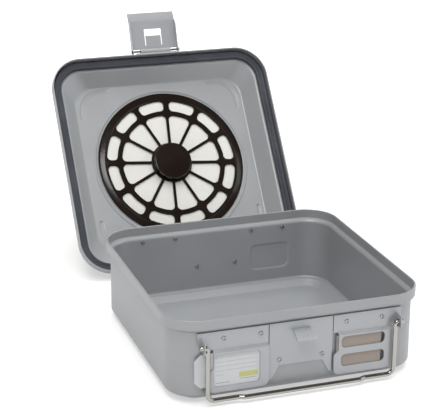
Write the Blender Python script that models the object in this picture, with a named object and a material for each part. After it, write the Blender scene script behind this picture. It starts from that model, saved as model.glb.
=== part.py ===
"""Half-size surgical sterilization container, standing open.

The deep-drawn base stands on its stepped foot with its front towards -Y. The lid stands behind it,
tipped back, with its inside to the front and both of its latches swung open. Metres, +Z up. The
origin is the centre of the foot's flat underside.
"""
import math

import bmesh
import bpy
import numpy as np
from mathutils import Matrix, Vector

# Fits and overruns
GAP = 0.0003
RUN_CLEARANCE = 0.0003
OVERRUN = 0.004
WELD = 0.0004

# Base pan
RIM_X = 0.279
RIM_Y = 0.274
RIM_RADIUS = 0.037
BASE_HEIGHT = 0.093
BASE_SHEET = 0.002
RIM_EDGE = 0.0005
BAND_HEIGHT = 0.0112
JOGGLE_IN = 0.00425
JOGGLE_DROP = 0.0026
LEDGE_HEIGHT = 0.0064
LEDGE_WIDTH = 0.0062
LEDGE_BEND = 0.0048
FOOT_SLOPE_IN = 0.0085
CORNER_STEPS = 6
BEND_STEPS = 2

# Sheet fittings on the front and rear walls. The strip hangs below the rim band, and the levels in
# the pocket are shares of its height, from its floor up to the strip's fold.
PLATE_SHEET = 0.0012
STRIP_CLEARANCE = 0.0007
STRIP_DEPTH = 0.0195
STRIP_TOP_Z = BASE_HEIGHT - BAND_HEIGHT - JOGGLE_DROP - STRIP_CLEARANCE
STRIP_FOLD_Z = STRIP_TOP_Z - STRIP_DEPTH
STRIP_JOGGLE_DROP = 0.0024
STRIP_END_X = 0.1110
STRIP_END_CUT = 0.0085
POCKET_OUT = 0.0048
POCKET_BOTTOM_Z = 0.0129
POCKET_INNER_X = 0.0355
POCKET_OUTER_X = 0.1000
POCKET_RADIUS = 0.006
NOTCH_DEPTH = 0.0050
NOTCH_LOW_SHARE = 0.479
NOTCH_SLOPE = 0.0050
LABEL_WINDOW_X = (0.0451, 0.0942)
LABEL_WINDOW_SHARES = (0.130, 0.894)
SLOT_X = (0.0436, 0.0920)
SLOT_LOW_SHARES = (0.184, 0.479)
SLOT_HIGH_SHARES = (0.636, 0.911)
WINDOW_RADIUS = 0.0045
HOLDER_RIVET_PITCH = 0.0394
LABEL_RIVET_CENTRE_X = 0.0635
SLOT_RIVET_CENTRE_X = 0.0697
FRONT_RIVET_DROP = 0.0083
REAR_RIVET_DROP = 0.0030

# Pressed panel in the wall behind the label window
EMBOSS_CENTRE_X = 0.0675
EMBOSS_WIDTH = 0.0456
EMBOSS_SHARES = (0.284, 0.902)
EMBOSS_DEPTH = 0.0011
EMBOSS_RADIUS = 0.006
EMBOSS_DRAFT = 0.0012

# Catch plate and its lug, whose levels are drops below the plate's top edge
CATCH_HALF_WIDTH = 0.0345
CATCH_ARCH_SHARE = 0.406
CATCH_ARCH_HALF = 0.0235
CATCH_LEG_SHARE = 0.089
CATCH_LEG_WIDTH = 0.0030
CATCH_RIVET_X = 0.0234
CATCH_RIVET_SHARE = 0.544
LUG_HALF_WIDTH = 0.0100
LUG_DROP = 0.0086
LUG_CREASE_OUT = 0.0095
LUG_CREASE_DROP = 0.0016
LUG_TIP_OUT = 0.0176
LUG_TIP_DROP = 0.0043
LUG_TOP_Z = STRIP_TOP_Z - LUG_DROP
LUG_CREASE_Z = LUG_TOP_Z - LUG_CREASE_DROP
LUG_TIP_Z = LUG_CREASE_Z - LUG_TIP_DROP
LUG_SHEET = 0.0016
LUG_RIBS = 7
LUG_RIB_WIDTH = 0.0011
LUG_RIB_HEIGHT = 0.0006

# Rivets
RIVET_SHANK_RADIUS = 0.0014
RIVET_HEAD_RADIUS = 0.0025
RIVET_HEAD_HEIGHT = 0.0009
RIVET_CROWN_SHARE = 0.62
RIVET_SIDES = 8

# Wire handle
WIRE_RADIUS = 0.0025
HANDLE_LEG_X = 0.1020
HANDLE_OUT = 0.0080
HANDLE_PIVOT_DROP = 0.0132
HANDLE_PIVOT_Z = STRIP_TOP_Z - HANDLE_PIVOT_DROP
HANDLE_BAR_Z = 0.0065
HANDLE_CORNER_RADIUS = 0.0075
HANDLE_END_RADIUS = 0.0032
HANDLE_END_LENGTH = 0.0085
HANDLE_JOG_X = 0.0630
HANDLE_JOG_RUN = 0.0060
HANDLE_JOG_OUT = 0.0025
EAR_X = 0.1058
EAR_OUT = 0.0128
EAR_BELOW_PIVOT = 0.0062
EAR_ABOVE_PIVOT = 0.0072
ARC_STEPS = 3

# Cards
CARD_SHEET = 0.0004
LABEL_CARD_INNER_X = 0.0385
LABEL_TONGUE_X = 0.1147
LABEL_TONGUE_ROOT_X = 0.1015
LABEL_TONGUE_CUT = 0.0065
LABEL_TONGUE_LOW_SHARE = 0.143
SLOT_CARD_FAR_X = 0.0885
SLOT_CARD_NEAR_X = 0.0385

# Lid shell
LID_X = 0.285
LID_Y = 0.280
LID_RADIUS = 0.040
LID_SHEET = 0.0015
SKIRT_DEPTH = 0.0120
SKIRT_BEND = 0.0030
SHELF_WIDTH = 0.0136
SHELF_BEND = 0.0022
SLOPE_WIDTH = 0.0164
PANEL_DEPTH = 0.0300
PANEL_RADIUS = 0.0260
STACK_ARC_X = 0.0760
STACK_ARC_Y = 0.0770
STACK_ARC_RADIUS = 0.0280
STACK_ARC_TAIL = 0.0080
STACK_ARC_WIDTH = 0.0042
STACK_ARC_HEIGHT = 0.0011
SEAT_BEAD_CLEARANCE = 0.0040
SEAT_BEAD_WIDTH = 0.0036
SEAT_BEAD_HEIGHT = 0.0012
PERFORATION_RADIUS = 0.0030
PERFORATION_SIDES = 6
PERFORATION_COUNTS = (8, 16, 24)
PERFORATION_SHARES = (0.295, 0.526, 0.758)

# Lid pose, standing behind the base
LID_STAND_X = 0.0015
LID_STAND_Y = 0.2037
LID_STAND_Z = 0.0135
LID_TILT = math.radians(36.72)

# Gasket
GASKET_GAP_OUT = 0.0009
GASKET_WIDTH = 0.0096
GASKET_HEIGHT = 0.0052
GASKET_CROWN = 0.0010

# Filter and its retainer. The grille's radii follow from its outer one.
RETAINER_RADIUS = 0.0950
RETAINER_SHEET = 0.0012
RETAINER_RISE = 0.0012
RETAINER_LIP_WIDTH = 0.0020
RETAINER_FOOT_WIDTH = 0.0037
RETAINER_RIDGE_INSET = 0.0090
RETAINER_RIDGE_HEIGHT = 0.0005
RETAINER_RIDGE_WIDTH = 0.0020
RETAINER_RIM_WIDTH = 0.0114
RETAINER_SLOT_DEPTH = 0.0133
RETAINER_RING_WIDTH = 0.0063
RETAINER_RIDGE_RADIUS = RETAINER_RADIUS - RETAINER_RIDGE_INSET
RETAINER_SIDES = 60
FILTER_CLEARANCE = 0.0008
FILTER_RADIUS = RETAINER_RADIUS - RETAINER_FOOT_WIDTH - FILTER_CLEARANCE
FILTER_SHEET = 0.0006
SEAT_BEAD_RADIUS = RETAINER_RADIUS + SEAT_BEAD_CLEARANCE
SPOKES = 12
SPOKE_START = math.radians(-5.0)
SPOKE_WIDTH = 0.0038
BAR_WIDTH = 0.0076
SLOT_OUTER_RADIUS = RETAINER_RADIUS - RETAINER_RIM_WIDTH
SLOT_INNER_RADIUS = SLOT_OUTER_RADIUS - RETAINER_SLOT_DEPTH
SLOT_ROUND = 0.0052
WEDGE_INNER_RADIUS = 0.0265
WEDGE_OUTER_RADIUS = SLOT_INNER_RADIUS - RETAINER_RING_WIDTH
WEDGE_ROUND = 0.0060
WEDGE_ROOT_ROUND = 0.0012

# Button, boss, stud and spring at the retainer's centre
BOSS_RADIUS = 0.0060
BOSS_HEIGHT = 0.0036
STUD_RADIUS = 0.0030
STUD_HEAD_RADIUS = 0.0080
STUD_HEAD_HEIGHT = 0.0020
STUD_CHAMFER = 0.0006
STUD_TIP_DROP = 0.0002  # the tip stays this far below the plate's top, clear of the pressed button
BUTTON_RADIUS = 0.0240
BUTTON_WALL = 0.0018
BUTTON_TRAVEL = 0.0030
BUTTON_HEIGHT = 0.0064
BUTTON_DOME = 0.0012
BUTTON_EDGE = 0.0012
BUTTON_SLEEVE_WALL = 0.0016
SPRING_WIRE_RADIUS = 0.00035
SPRING_RADIUS = 0.0125
SPRING_TURNS = 3
SPRING_POINTS_PER_TURN = 10
BUTTON_SIDES = 32

# Latches
LATCH_AXIS_OUT = 0.0055
LATCH_AXIS_DEPTH = 0.0060
LATCH_HALF_WIDTH = 0.0308
LATCH_SHEET = 0.0012
LATCH_STANDOFF = 0.0034
LATCH_LENGTH = 0.0400
LATCH_GRIP = 0.0113
LATCH_GRIP_ANGLE = math.radians(16.5)
LATCH_FLANGE = 0.0059
LATCH_FLANGE_START = 0.0030
LATCH_EAR_RADIUS = 0.0035
LATCH_HOLE_HALF_WIDTH = 0.0112
LATCH_HOLE_NEAR = 0.0205
LATCH_HOLE_FAR = 0.0290
LATCH_TONGUE_ROOT = 0.0080
LATCH_TONGUE_SLIT = 0.0010
FRONT_LATCH_ANGLE = math.radians(75.0)
REAR_LATCH_ANGLE = math.radians(33.7)
BRACKET_HALF_WIDTH = 0.0270
BRACKET_NEAR = 0.0010
BRACKET_FAR = 0.0115
BRACKET_WEB = 0.0020
BARREL_HALF_WIDTH = 0.0200
BARREL_RADIUS = 0.0030
BRACKET_RIVET_X = 0.0237
PIN_RADIUS = 0.00125
PIN_HEAD_RADIUS = 0.0022
PIN_HEAD_LENGTH = 0.0010
PIN_SIDES = 12

WALL_OUT = RIM_Y / 2 - JOGGLE_IN
PLATE_OUT = GAP + PLATE_SHEET
CARD_OUT = POCKET_OUT - PLATE_SHEET - GAP
PANEL_Z = -PANEL_DEPTH


def pocket_level(share):
    """A height in the card pocket, from its floor at 0 to the strip's fold at 1."""
    return POCKET_BOTTOM_Z + share * (STRIP_FOLD_Z - POCKET_BOTTOM_Z)


def clear_scene():
    for item in list(bpy.data.objects):
        bpy.data.objects.remove(item)


def make_material(name, colour, roughness, metallic):
    mat = bpy.data.materials.new(name)
    mat.use_nodes = True
    shader = mat.node_tree.nodes["Principled BSDF"]
    shader.inputs["Base Color"].default_value = (*colour, 1.0)
    shader.inputs["Roughness"].default_value = roughness
    shader.inputs["Metallic"].default_value = metallic
    return mat


def make_object(name, verts, faces, finish, parent=None):
    """A named object from points and faces, with its faces turned outwards."""
    mesh = bpy.data.meshes.new(name)
    mesh.from_pydata([tuple(v) for v in verts], [], [tuple(f) for f in faces])
    work = bmesh.new()
    work.from_mesh(mesh)
    bmesh.ops.recalc_face_normals(work, faces=work.faces)
    work.to_mesh(mesh)
    work.free()
    mesh.shade_smooth()
    mesh.set_sharp_from_angle(angle=math.radians(35))
    item = bpy.data.objects.new(name, mesh)
    bpy.context.scene.collection.objects.link(item)
    item.parent = parent
    if finish is not None:
        mesh.materials.append(finish)
    return item


def make_empty(name, location, rotation, parent=None):
    item = bpy.data.objects.new(name, None)
    bpy.context.scene.collection.objects.link(item)
    item.parent = parent
    item.location = location
    item.rotation_euler = rotation
    return item


def use_cutter(target, name, solids, operation, parent=None):
    """A hidden object made of several closed solids, used by a Boolean on the target."""
    verts, faces = merge_solids(solids)
    cutter = make_object(name, verts, faces, None, parent)
    cutter.hide_render = True
    cutter.display_type = "WIRE"
    cut = target.modifiers.new(name, "BOOLEAN")
    cut.operation = operation
    cut.object = cutter
    cut.solver = "EXACT"
    return cutter


def merge_solids(solids):
    verts, faces = [], []
    for solid_verts, solid_faces in solids:
        start = len(verts)
        verts.extend(tuple(v) for v in solid_verts)
        faces.extend([i + start for i in face] for face in solid_faces)
    return verts, faces


def arc_points(centre, radius, start, end, steps):
    angles = np.linspace(start, end, steps + 1)
    return [(centre[0] + radius * math.cos(a), centre[1] + radius * math.sin(a)) for a in angles]


def rounded_rectangle(half_x, half_y, radius, steps=CORNER_STEPS):
    """Corners anticlockwise from the +X, +Y one, each an arc of the given radius."""
    points = []
    for turn, (sx, sy) in enumerate(((1, 1), (-1, 1), (-1, -1), (1, -1))):
        centre = (sx * (half_x - radius), sy * (half_y - radius))
        start = turn * math.pi / 2
        points += arc_points(centre, radius, start, start + math.pi / 2, steps)
    return points


def rounded_box_outline(low_x, high_x, low_z, high_z, radius, steps=4):
    middle = ((low_x + high_x) / 2, (low_z + high_z) / 2)
    corners = rounded_rectangle((high_x - low_x) / 2, (high_z - low_z) / 2, radius, steps)
    return [(x + middle[0], z + middle[1]) for x, z in corners]


def loft(rings, closed_loop=False):
    """Quads between rings of equal length. An open stack is capped at both ends."""
    count = len(rings[0])
    verts = [p for ring in rings for p in ring]
    faces = []
    spans = len(rings) if closed_loop else len(rings) - 1
    for k in range(spans):
        low, high = k * count, ((k + 1) % len(rings)) * count
        for i in range(count):
            j = (i + 1) % count
            faces.append([low + i, low + j, high + j, high + i])
    if not closed_loop:
        faces.append(list(range(count))[::-1])
        faces.append(list(range((len(rings) - 1) * count, len(rings) * count)))
    return verts, faces


def extrude_outline(outline, low, high, place):
    """A prism: place(a, b, t) puts the outline's point (a, b) at height t in space."""
    return loft([[place(a, b, t) for a, b in outline] for t in (low, high)])


def on_front_wall(x, z, out):
    """A point on the front fittings: x, height and distance out from the wall's outer face."""
    return (x, -WALL_OUT - out, z)


def along_x(y, z, x):
    return (x, y, z)


def revolve(profile, sides, closed_loop=False):
    """Turns (radius, height) points about Z. An open profile starts and ends on the axis."""
    angles = np.linspace(0, 2 * math.pi, sides, endpoint=False)
    body = profile if closed_loop else profile[1:-1]
    rings = [[(r * math.cos(a), r * math.sin(a), z) for a in angles] for r, z in body]
    verts = [p for ring in rings for p in ring]
    faces = []
    spans = len(rings) if closed_loop else len(rings) - 1
    for k in range(spans):
        low, high = k * sides, ((k + 1) % len(rings)) * sides
        for i in range(sides):
            j = (i + 1) % sides
            faces.append([low + i, low + j, high + j, high + i])
    if not closed_loop:
        first, last = len(verts), len(verts) + 1
        verts += [(0, 0, profile[0][1]), (0, 0, profile[-1][1])]
        top = (len(rings) - 1) * sides
        for i in range(sides):
            j = (i + 1) % sides
            faces.append([first, j, i])
            faces.append([last, top + i, top + j])
    return verts, faces


def moved(solid, matrix):
    verts, faces = solid
    return [tuple(matrix @ Vector(v)) for v in verts], faces


def offset_path(path, distance):
    """The path moved to its left by a distance, with mitred corners."""
    points = np.array(path, float)
    steps = np.diff(points, axis=0)
    steps /= np.linalg.norm(steps, axis=1)[:, None]
    normals = np.stack([-steps[:, 1], steps[:, 0]], axis=1)
    result = []
    for i, point in enumerate(points):
        before = normals[max(i - 1, 0)]
        after = normals[min(i, len(normals) - 1)]
        middle = before + after
        middle /= np.linalg.norm(middle)
        result.append(tuple(point + middle * distance / np.dot(middle, after)))
    return result


def drawn_shell(half_x, half_y, rim_radius, outer, inner, corner_radius):
    """A drawn sheet pan from its outer and inner (inset, height) paths, both from the rim inwards."""
    rings = []
    for inset, height in outer[::-1] + inner:
        corner = corner_radius(inset, rim_radius)
        outline = rounded_rectangle(half_x - inset, half_y - inset, corner)
        rings.append([(x, y, height) for x, y in outline])
    return loft(rings)


def bend(corner, start, end, radius):
    """Points of a fillet between two directions that meet at a corner, start and end included."""
    corner, start, end = Vector(corner), Vector(start), Vector(end)
    a = (start - corner).normalized()
    b = (end - corner).normalized()
    half = a.angle(b) / 2
    reach = radius / math.tan(half)
    centre = corner + (a + b).normalized() * radius / math.sin(half)
    first, last = corner + a * reach - centre, corner + b * reach - centre
    sweep = math.atan2(first.x * last.y - first.y * last.x, first.dot(last))
    points = []
    for step in range(BEND_STEPS + 1):
        turn = sweep * step / BEND_STEPS
        spun = Matrix.Rotation(turn, 2) @ first
        points.append(tuple(centre + spun))
    return points


def cylinder_y(x, z, radius, out_low, out_high, sides=RIVET_SIDES):
    """A round prism across the front wall."""
    outline = arc_points((x, z), radius, 0, 2 * math.pi, sides)[:-1]
    return extrude_outline(outline, out_low, out_high, on_front_wall)


def cylinder_x(y, z, radius, low_x, high_x, sides=PIN_SIDES):
    outline = arc_points((y, z), radius, 0, 2 * math.pi, sides)[:-1]
    return extrude_outline(outline, low_x, high_x, along_x)


def block(low, high):
    outline = [(low[0], low[1]), (high[0], low[1]), (high[0], high[1]), (low[0], high[1])]
    return extrude_outline(outline, low[2], high[2], lambda x, y, z: (x, y, z))


def wall_block(low_x, high_x, low_out, high_out, low_z, high_z):
    return block((low_x, -WALL_OUT - high_out, low_z), (high_x, -WALL_OUT - low_out, high_z))


def rivet_places(rivet_drop):
    """The (x, z) of the six rivets of one wall, in the front wall's own view."""
    rivet_z = STRIP_TOP_Z - rivet_drop
    half = HOLDER_RIVET_PITCH / 2
    return [(-LABEL_RIVET_CENTRE_X - half, rivet_z), (-LABEL_RIVET_CENTRE_X + half, rivet_z),
            (SLOT_RIVET_CENTRE_X - half, rivet_z), (SLOT_RIVET_CENTRE_X + half, rivet_z),
            (-CATCH_RIVET_X, pocket_level(CATCH_RIVET_SHARE)), (CATCH_RIVET_X, pocket_level(CATCH_RIVET_SHARE))]


def half_turn(solid):
    return moved(solid, Matrix.Rotation(math.pi, 4, "Z"))


def emboss_solid(grow, low_out, high_out):
    """The pressed panel behind the label window, wider at its root."""
    rings = []
    for out, spread in ((low_out, grow + EMBOSS_DRAFT), (high_out, grow)):
        outline = rounded_box_outline(
            -EMBOSS_CENTRE_X - EMBOSS_WIDTH / 2 - spread, -EMBOSS_CENTRE_X + EMBOSS_WIDTH / 2 + spread,
            pocket_level(EMBOSS_SHARES[0]) - spread, pocket_level(EMBOSS_SHARES[1]) + spread, EMBOSS_RADIUS)
        rings.append([on_front_wall(x, z, out) for x, z in outline])
    return loft(rings)


def make_base_shell(finish):
    outer_corner = (JOGGLE_IN, LEDGE_HEIGHT)
    slope_root = (JOGGLE_IN + LEDGE_WIDTH, LEDGE_HEIGHT)
    wall_top = (JOGGLE_IN, BASE_HEIGHT - BAND_HEIGHT - JOGGLE_DROP)
    outer = [(0, BASE_HEIGHT - RIM_EDGE), (0, BASE_HEIGHT - BAND_HEIGHT), wall_top]
    outer += bend(outer_corner, wall_top, slope_root, LEDGE_BEND)
    foot = (slope_root[0] + FOOT_SLOPE_IN, 0)
    outer += [slope_root, foot]
    inner = offset_path(outer + [(RIM_Y / 2, 0)], BASE_SHEET)[:-1]
    outer = [(RIM_EDGE, BASE_HEIGHT)] + outer
    inner = [(BASE_SHEET - RIM_EDGE, BASE_HEIGHT), (BASE_SHEET, BASE_HEIGHT - RIM_EDGE)] + inner[1:]
    solid = drawn_shell(RIM_X / 2, RIM_Y / 2, RIM_RADIUS, outer, inner, lambda inset, rim: rim - inset)
    shell = make_object("base_shell", *solid, finish)
    boss = emboss_solid(0, -BASE_SHEET / 2, EMBOSS_DEPTH)
    use_cutter(shell, "base_emboss_add", [boss, half_turn(boss)], "UNION")
    cuts = []
    hollow = emboss_solid(-EMBOSS_DRAFT, -BASE_SHEET - OVERRUN, EMBOSS_DEPTH - BASE_SHEET)
    cuts += [hollow, half_turn(hollow)]
    hole = RIVET_SHANK_RADIUS + RUN_CLEARANCE
    for x, z in rivet_places(FRONT_RIVET_DROP):
        cuts.append(cylinder_y(x, z, hole, -OVERRUN, OVERRUN))
    for x, z in rivet_places(REAR_RIVET_DROP):
        cuts.append(half_turn(cylinder_y(x, z, hole, -OVERRUN, OVERRUN)))
    use_cutter(shell, "base_cuts", cuts, "DIFFERENCE")
    return shell


def holder_outline(open_x, closed_x, strip_near, strip_far):
    """The holder seen from the front, from strip_near to strip_far in x, open at open_x."""
    side = math.copysign(1, closed_x - open_x)
    notch = open_x + side * NOTCH_DEPTH
    end_side = math.copysign(1, strip_far)
    closed_is_end = abs(closed_x) > abs(open_x)
    pocket_end = POCKET_BOTTOM_Z + POCKET_RADIUS
    low_closed = arc_points((closed_x - side * POCKET_RADIUS, pocket_end), POCKET_RADIUS,
                            0 if side > 0 else math.pi, -math.pi / 2 if side > 0 else 1.5 * math.pi, ARC_STEPS)
    low_open = arc_points((open_x + side * POCKET_RADIUS, pocket_end), POCKET_RADIUS,
                          -math.pi / 2 if side > 0 else 1.5 * math.pi,
                          -math.pi if side > 0 else 2 * math.pi, ARC_STEPS)
    strip_end = [(strip_far, STRIP_TOP_Z), (strip_far, STRIP_FOLD_Z + STRIP_END_CUT),
                 (strip_far - end_side * STRIP_END_CUT, STRIP_FOLD_Z)]
    notch_low = pocket_level(NOTCH_LOW_SHARE)
    notch_path = [(open_x, notch_low), (notch, notch_low + NOTCH_SLOPE), (notch, STRIP_FOLD_Z)]
    if closed_is_end:
        return ([(strip_near, STRIP_TOP_Z)] + strip_end + [(closed_x, STRIP_FOLD_Z)] + low_closed
                + low_open + notch_path + [(strip_near, STRIP_FOLD_Z)])
    return ([(strip_near, STRIP_TOP_Z)] + low_closed + low_open + notch_path + strip_end[::-1])


def make_holder(name, parent, finish, open_x, closed_x, windows, rivets):
    """A riveted card pocket. Its sheet profile runs along X and its outline trims it."""
    inner_side = math.copysign(POCKET_INNER_X, open_x)
    strip_far = math.copysign(STRIP_END_X, open_x)
    strip_bottom = STRIP_FOLD_Z - STRIP_JOGGLE_DROP
    back = [(GAP, STRIP_TOP_Z), (GAP, STRIP_FOLD_Z), (POCKET_OUT - PLATE_SHEET, strip_bottom),
            (POCKET_OUT - PLATE_SHEET, POCKET_BOTTOM_Z + PLATE_SHEET), (GAP, POCKET_BOTTOM_Z + PLATE_SHEET),
            (GAP, POCKET_BOTTOM_Z), (POCKET_OUT, POCKET_BOTTOM_Z), (POCKET_OUT, strip_bottom),
            (PLATE_OUT, STRIP_FOLD_Z), (PLATE_OUT, STRIP_TOP_Z)]
    reach = STRIP_END_X + OVERRUN
    low_x, high_x = sorted((0, math.copysign(reach, open_x)))
    solid = extrude_outline(back, low_x, high_x, lambda out, z, x: on_front_wall(x, z, out))
    holder = make_object(name, *solid, finish, parent)
    outline = holder_outline(open_x, closed_x, inner_side, strip_far)
    trim = extrude_outline(outline, -OVERRUN, POCKET_OUT + OVERRUN, on_front_wall)
    use_cutter(holder, name + "_trim", [trim], "INTERSECT", parent)
    side = math.copysign(1, closed_x - open_x)
    near, far = sorted((closed_x, closed_x - side * PLATE_SHEET))
    stop = wall_block(near, far, GAP, POCKET_OUT - WELD, POCKET_BOTTOM_Z + POCKET_RADIUS, strip_bottom)
    end = math.copysign(1, open_x)
    ear_low, ear_high = sorted((end * EAR_X, end * (EAR_X + PLATE_SHEET)))
    ear = wall_block(ear_low, ear_high, GAP + WELD, EAR_OUT,
                     HANDLE_PIVOT_Z - EAR_BELOW_PIVOT, HANDLE_PIVOT_Z + EAR_ABOVE_PIVOT)
    use_cutter(holder, name + "_additions", [stop, ear], "UNION", parent)
    cuts = []
    for (low, high), (bottom, top) in windows:
        low, high = sorted((end * low, end * high))
        window = rounded_box_outline(low, high, pocket_level(bottom), pocket_level(top), WINDOW_RADIUS)
        cuts.append(extrude_outline(window, POCKET_OUT - PLATE_SHEET - WELD, POCKET_OUT + OVERRUN, on_front_wall))
    hole = RIVET_SHANK_RADIUS + RUN_CLEARANCE
    cuts += [cylinder_y(x, z, hole, -OVERRUN, OVERRUN) for x, z in rivets]
    pivot_y = -WALL_OUT - HANDLE_OUT
    cuts.append(cylinder_x(pivot_y, HANDLE_PIVOT_Z, WIRE_RADIUS + RUN_CLEARANCE,
                           ear_low - OVERRUN, ear_high + OVERRUN))
    use_cutter(holder, name + "_cuts", cuts, "DIFFERENCE", parent)
    return holder


def make_catch_plate(name, parent, finish):
    """The plate between the holders, with an arched foot and the ribbed lug for the latch."""
    leg, arch = pocket_level(CATCH_LEG_SHARE), pocket_level(CATCH_ARCH_SHARE)
    leg_x = CATCH_HALF_WIDTH - CATCH_LEG_WIDTH
    outline = [(-CATCH_HALF_WIDTH, STRIP_TOP_Z), (-CATCH_HALF_WIDTH, leg), (-leg_x, leg),
               (-CATCH_ARCH_HALF, arch), (CATCH_ARCH_HALF, arch), (leg_x, leg),
               (CATCH_HALF_WIDTH, leg), (CATCH_HALF_WIDTH, STRIP_TOP_Z)]
    plate = make_object(name, *extrude_outline(outline, GAP, PLATE_OUT, on_front_wall), finish, parent)
    root = PLATE_OUT - WELD
    top = [(root, LUG_TOP_Z), (LUG_CREASE_OUT, LUG_CREASE_Z), (LUG_TIP_OUT, LUG_TIP_Z)]
    under = [(LUG_TIP_OUT, LUG_TIP_Z - LUG_SHEET), (LUG_CREASE_OUT, LUG_CREASE_Z - LUG_SHEET),
             (root, LUG_TOP_Z - LUG_SHEET)]
    lug = extrude_outline(top + under, -LUG_HALF_WIDTH, LUG_HALF_WIDTH,
                          lambda out, z, x: on_front_wall(x, z, out))
    solids = [lug]
    use_cutter(plate, name + "_lug", solids, "UNION", parent)
    ribs = []
    pitch = 2 * LUG_HALF_WIDTH / (LUG_RIBS + 1)
    fall = (LUG_TIP_Z - LUG_CREASE_Z) / (LUG_TIP_OUT - LUG_CREASE_OUT)
    start = LUG_CREASE_OUT + LUG_SHEET
    rib = [(start, LUG_CREASE_Z + fall * (start - LUG_CREASE_OUT) - WELD),
           (LUG_TIP_OUT - LUG_SHEET / 2, LUG_TIP_Z - fall * LUG_SHEET / 2 - WELD),
           (LUG_TIP_OUT - LUG_SHEET / 2, LUG_TIP_Z - fall * LUG_SHEET / 2 + LUG_RIB_HEIGHT),
           (start, LUG_CREASE_Z + fall * (start - LUG_CREASE_OUT) + LUG_RIB_HEIGHT)]
    for k in range(LUG_RIBS):
        centre = -LUG_HALF_WIDTH + pitch * (k + 1)
        ribs.append(extrude_outline(rib, centre - LUG_RIB_WIDTH / 2, centre + LUG_RIB_WIDTH / 2,
                                    lambda out, z, x: on_front_wall(x, z, out)))
    use_cutter(plate, name + "_ribs", ribs, "UNION", parent)
    hole = RIVET_SHANK_RADIUS + RUN_CLEARANCE
    holes = [cylinder_y(x, pocket_level(CATCH_RIVET_SHARE), hole, -OVERRUN, OVERRUN)
             for x in (-CATCH_RIVET_X, CATCH_RIVET_X)]
    use_cutter(plate, name + "_holes", holes, "DIFFERENCE", parent)
    return plate


def rivet_solid(x, z, sheet_depth, plate_face):
    """A rivet through the wall and one plate, with a low crowned head at each end."""
    crown = RIVET_HEAD_RADIUS * RIVET_CROWN_SHARE
    inside, outside = -sheet_depth - GAP, plate_face + GAP
    profile = [(0, inside - RIVET_HEAD_HEIGHT), (crown, inside - RIVET_HEAD_HEIGHT),
               (RIVET_HEAD_RADIUS, inside), (RIVET_SHANK_RADIUS, inside),
               (RIVET_SHANK_RADIUS, outside), (RIVET_HEAD_RADIUS, outside),
               (crown, outside + RIVET_HEAD_HEIGHT), (0, outside + RIVET_HEAD_HEIGHT)]
    verts, faces = revolve(profile, RIVET_SIDES)
    return [on_front_wall(x + vx, z + vy, vz) for vx, vy, vz in verts], faces


def tube_object(name, points, radius, finish, parent, resolution=2):
    """A round wire along the points, with filled ends."""
    curve = bpy.data.curves.new(name, "CURVE")
    curve.dimensions = "3D"
    curve.bevel_depth = radius
    curve.bevel_resolution = resolution
    curve.use_fill_caps = True
    spline = curve.splines.new("POLY")
    spline.points.add(len(points) - 1)
    for point, place in zip(spline.points, points):
        point.co = (*place, 1.0)
    curve.materials.append(finish)
    item = bpy.data.objects.new(name, curve)
    bpy.context.scene.collection.objects.link(item)
    item.parent = parent
    return item


def handle_points():
    """Half the wire from its end in the ear to the middle of the bar, about the hinge axis."""
    drop = HANDLE_BAR_Z - HANDLE_PIVOT_Z
    end = HANDLE_LEG_X + HANDLE_END_LENGTH
    knee = arc_points((HANDLE_LEG_X + HANDLE_END_RADIUS, -HANDLE_END_RADIUS), HANDLE_END_RADIUS,
                      math.pi / 2, math.pi, ARC_STEPS)
    foot = arc_points((HANDLE_LEG_X - HANDLE_CORNER_RADIUS, drop + HANDLE_CORNER_RADIUS),
                      HANDLE_CORNER_RADIUS, 0, -math.pi / 2, ARC_STEPS)
    flat = [(end, 0)] + knee + foot
    half = [(x, 0, z) for x, z in flat]
    half += [(HANDLE_JOG_X + HANDLE_JOG_RUN, 0, drop), (HANDLE_JOG_X, -HANDLE_JOG_OUT, drop)]
    return half


def make_handle(name, parent, finish):
    half = handle_points()
    other = [(-x, y, z) for x, y, z in half[::-1]]
    handle = tube_object(name, half + other, WIRE_RADIUS, finish, parent)
    handle.location = (0, -WALL_OUT - HANDLE_OUT, HANDLE_PIVOT_Z)
    return handle


def make_wall_set(side, turn, rivet_drop, metal, steel, rivet_metal):
    """Holders, catch plate, rivets and wire handle of one wall, made in the front wall's view."""
    parent = make_empty(side + "_wall", (0, 0, 0), (0, 0, turn))
    places = rivet_places(rivet_drop)
    make_holder(side + "_left_holder", parent, metal, -POCKET_OUTER_X, -POCKET_INNER_X,
                [(LABEL_WINDOW_X, LABEL_WINDOW_SHARES)], places[0:2])
    make_holder(side + "_right_holder", parent, metal, POCKET_INNER_X, POCKET_OUTER_X,
                [(SLOT_X, SLOT_LOW_SHARES), (SLOT_X, SLOT_HIGH_SHARES)], places[2:4])
    make_catch_plate(side + "_catch_plate", parent, metal)
    for number, (x, z) in enumerate(places, 1):
        make_object(f"{side}_rivet_{number}", *rivet_solid(x, z, BASE_SHEET, PLATE_OUT), rivet_metal, parent)
    make_handle(side + "_handle", parent, steel)


def card_levels():
    """The lower and upper edge of a card that rests on the pocket's floor, under the fold."""
    return POCKET_BOTTOM_Z + PLATE_SHEET + GAP, STRIP_FOLD_Z - STRIP_JOGGLE_DROP - GAP


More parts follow.
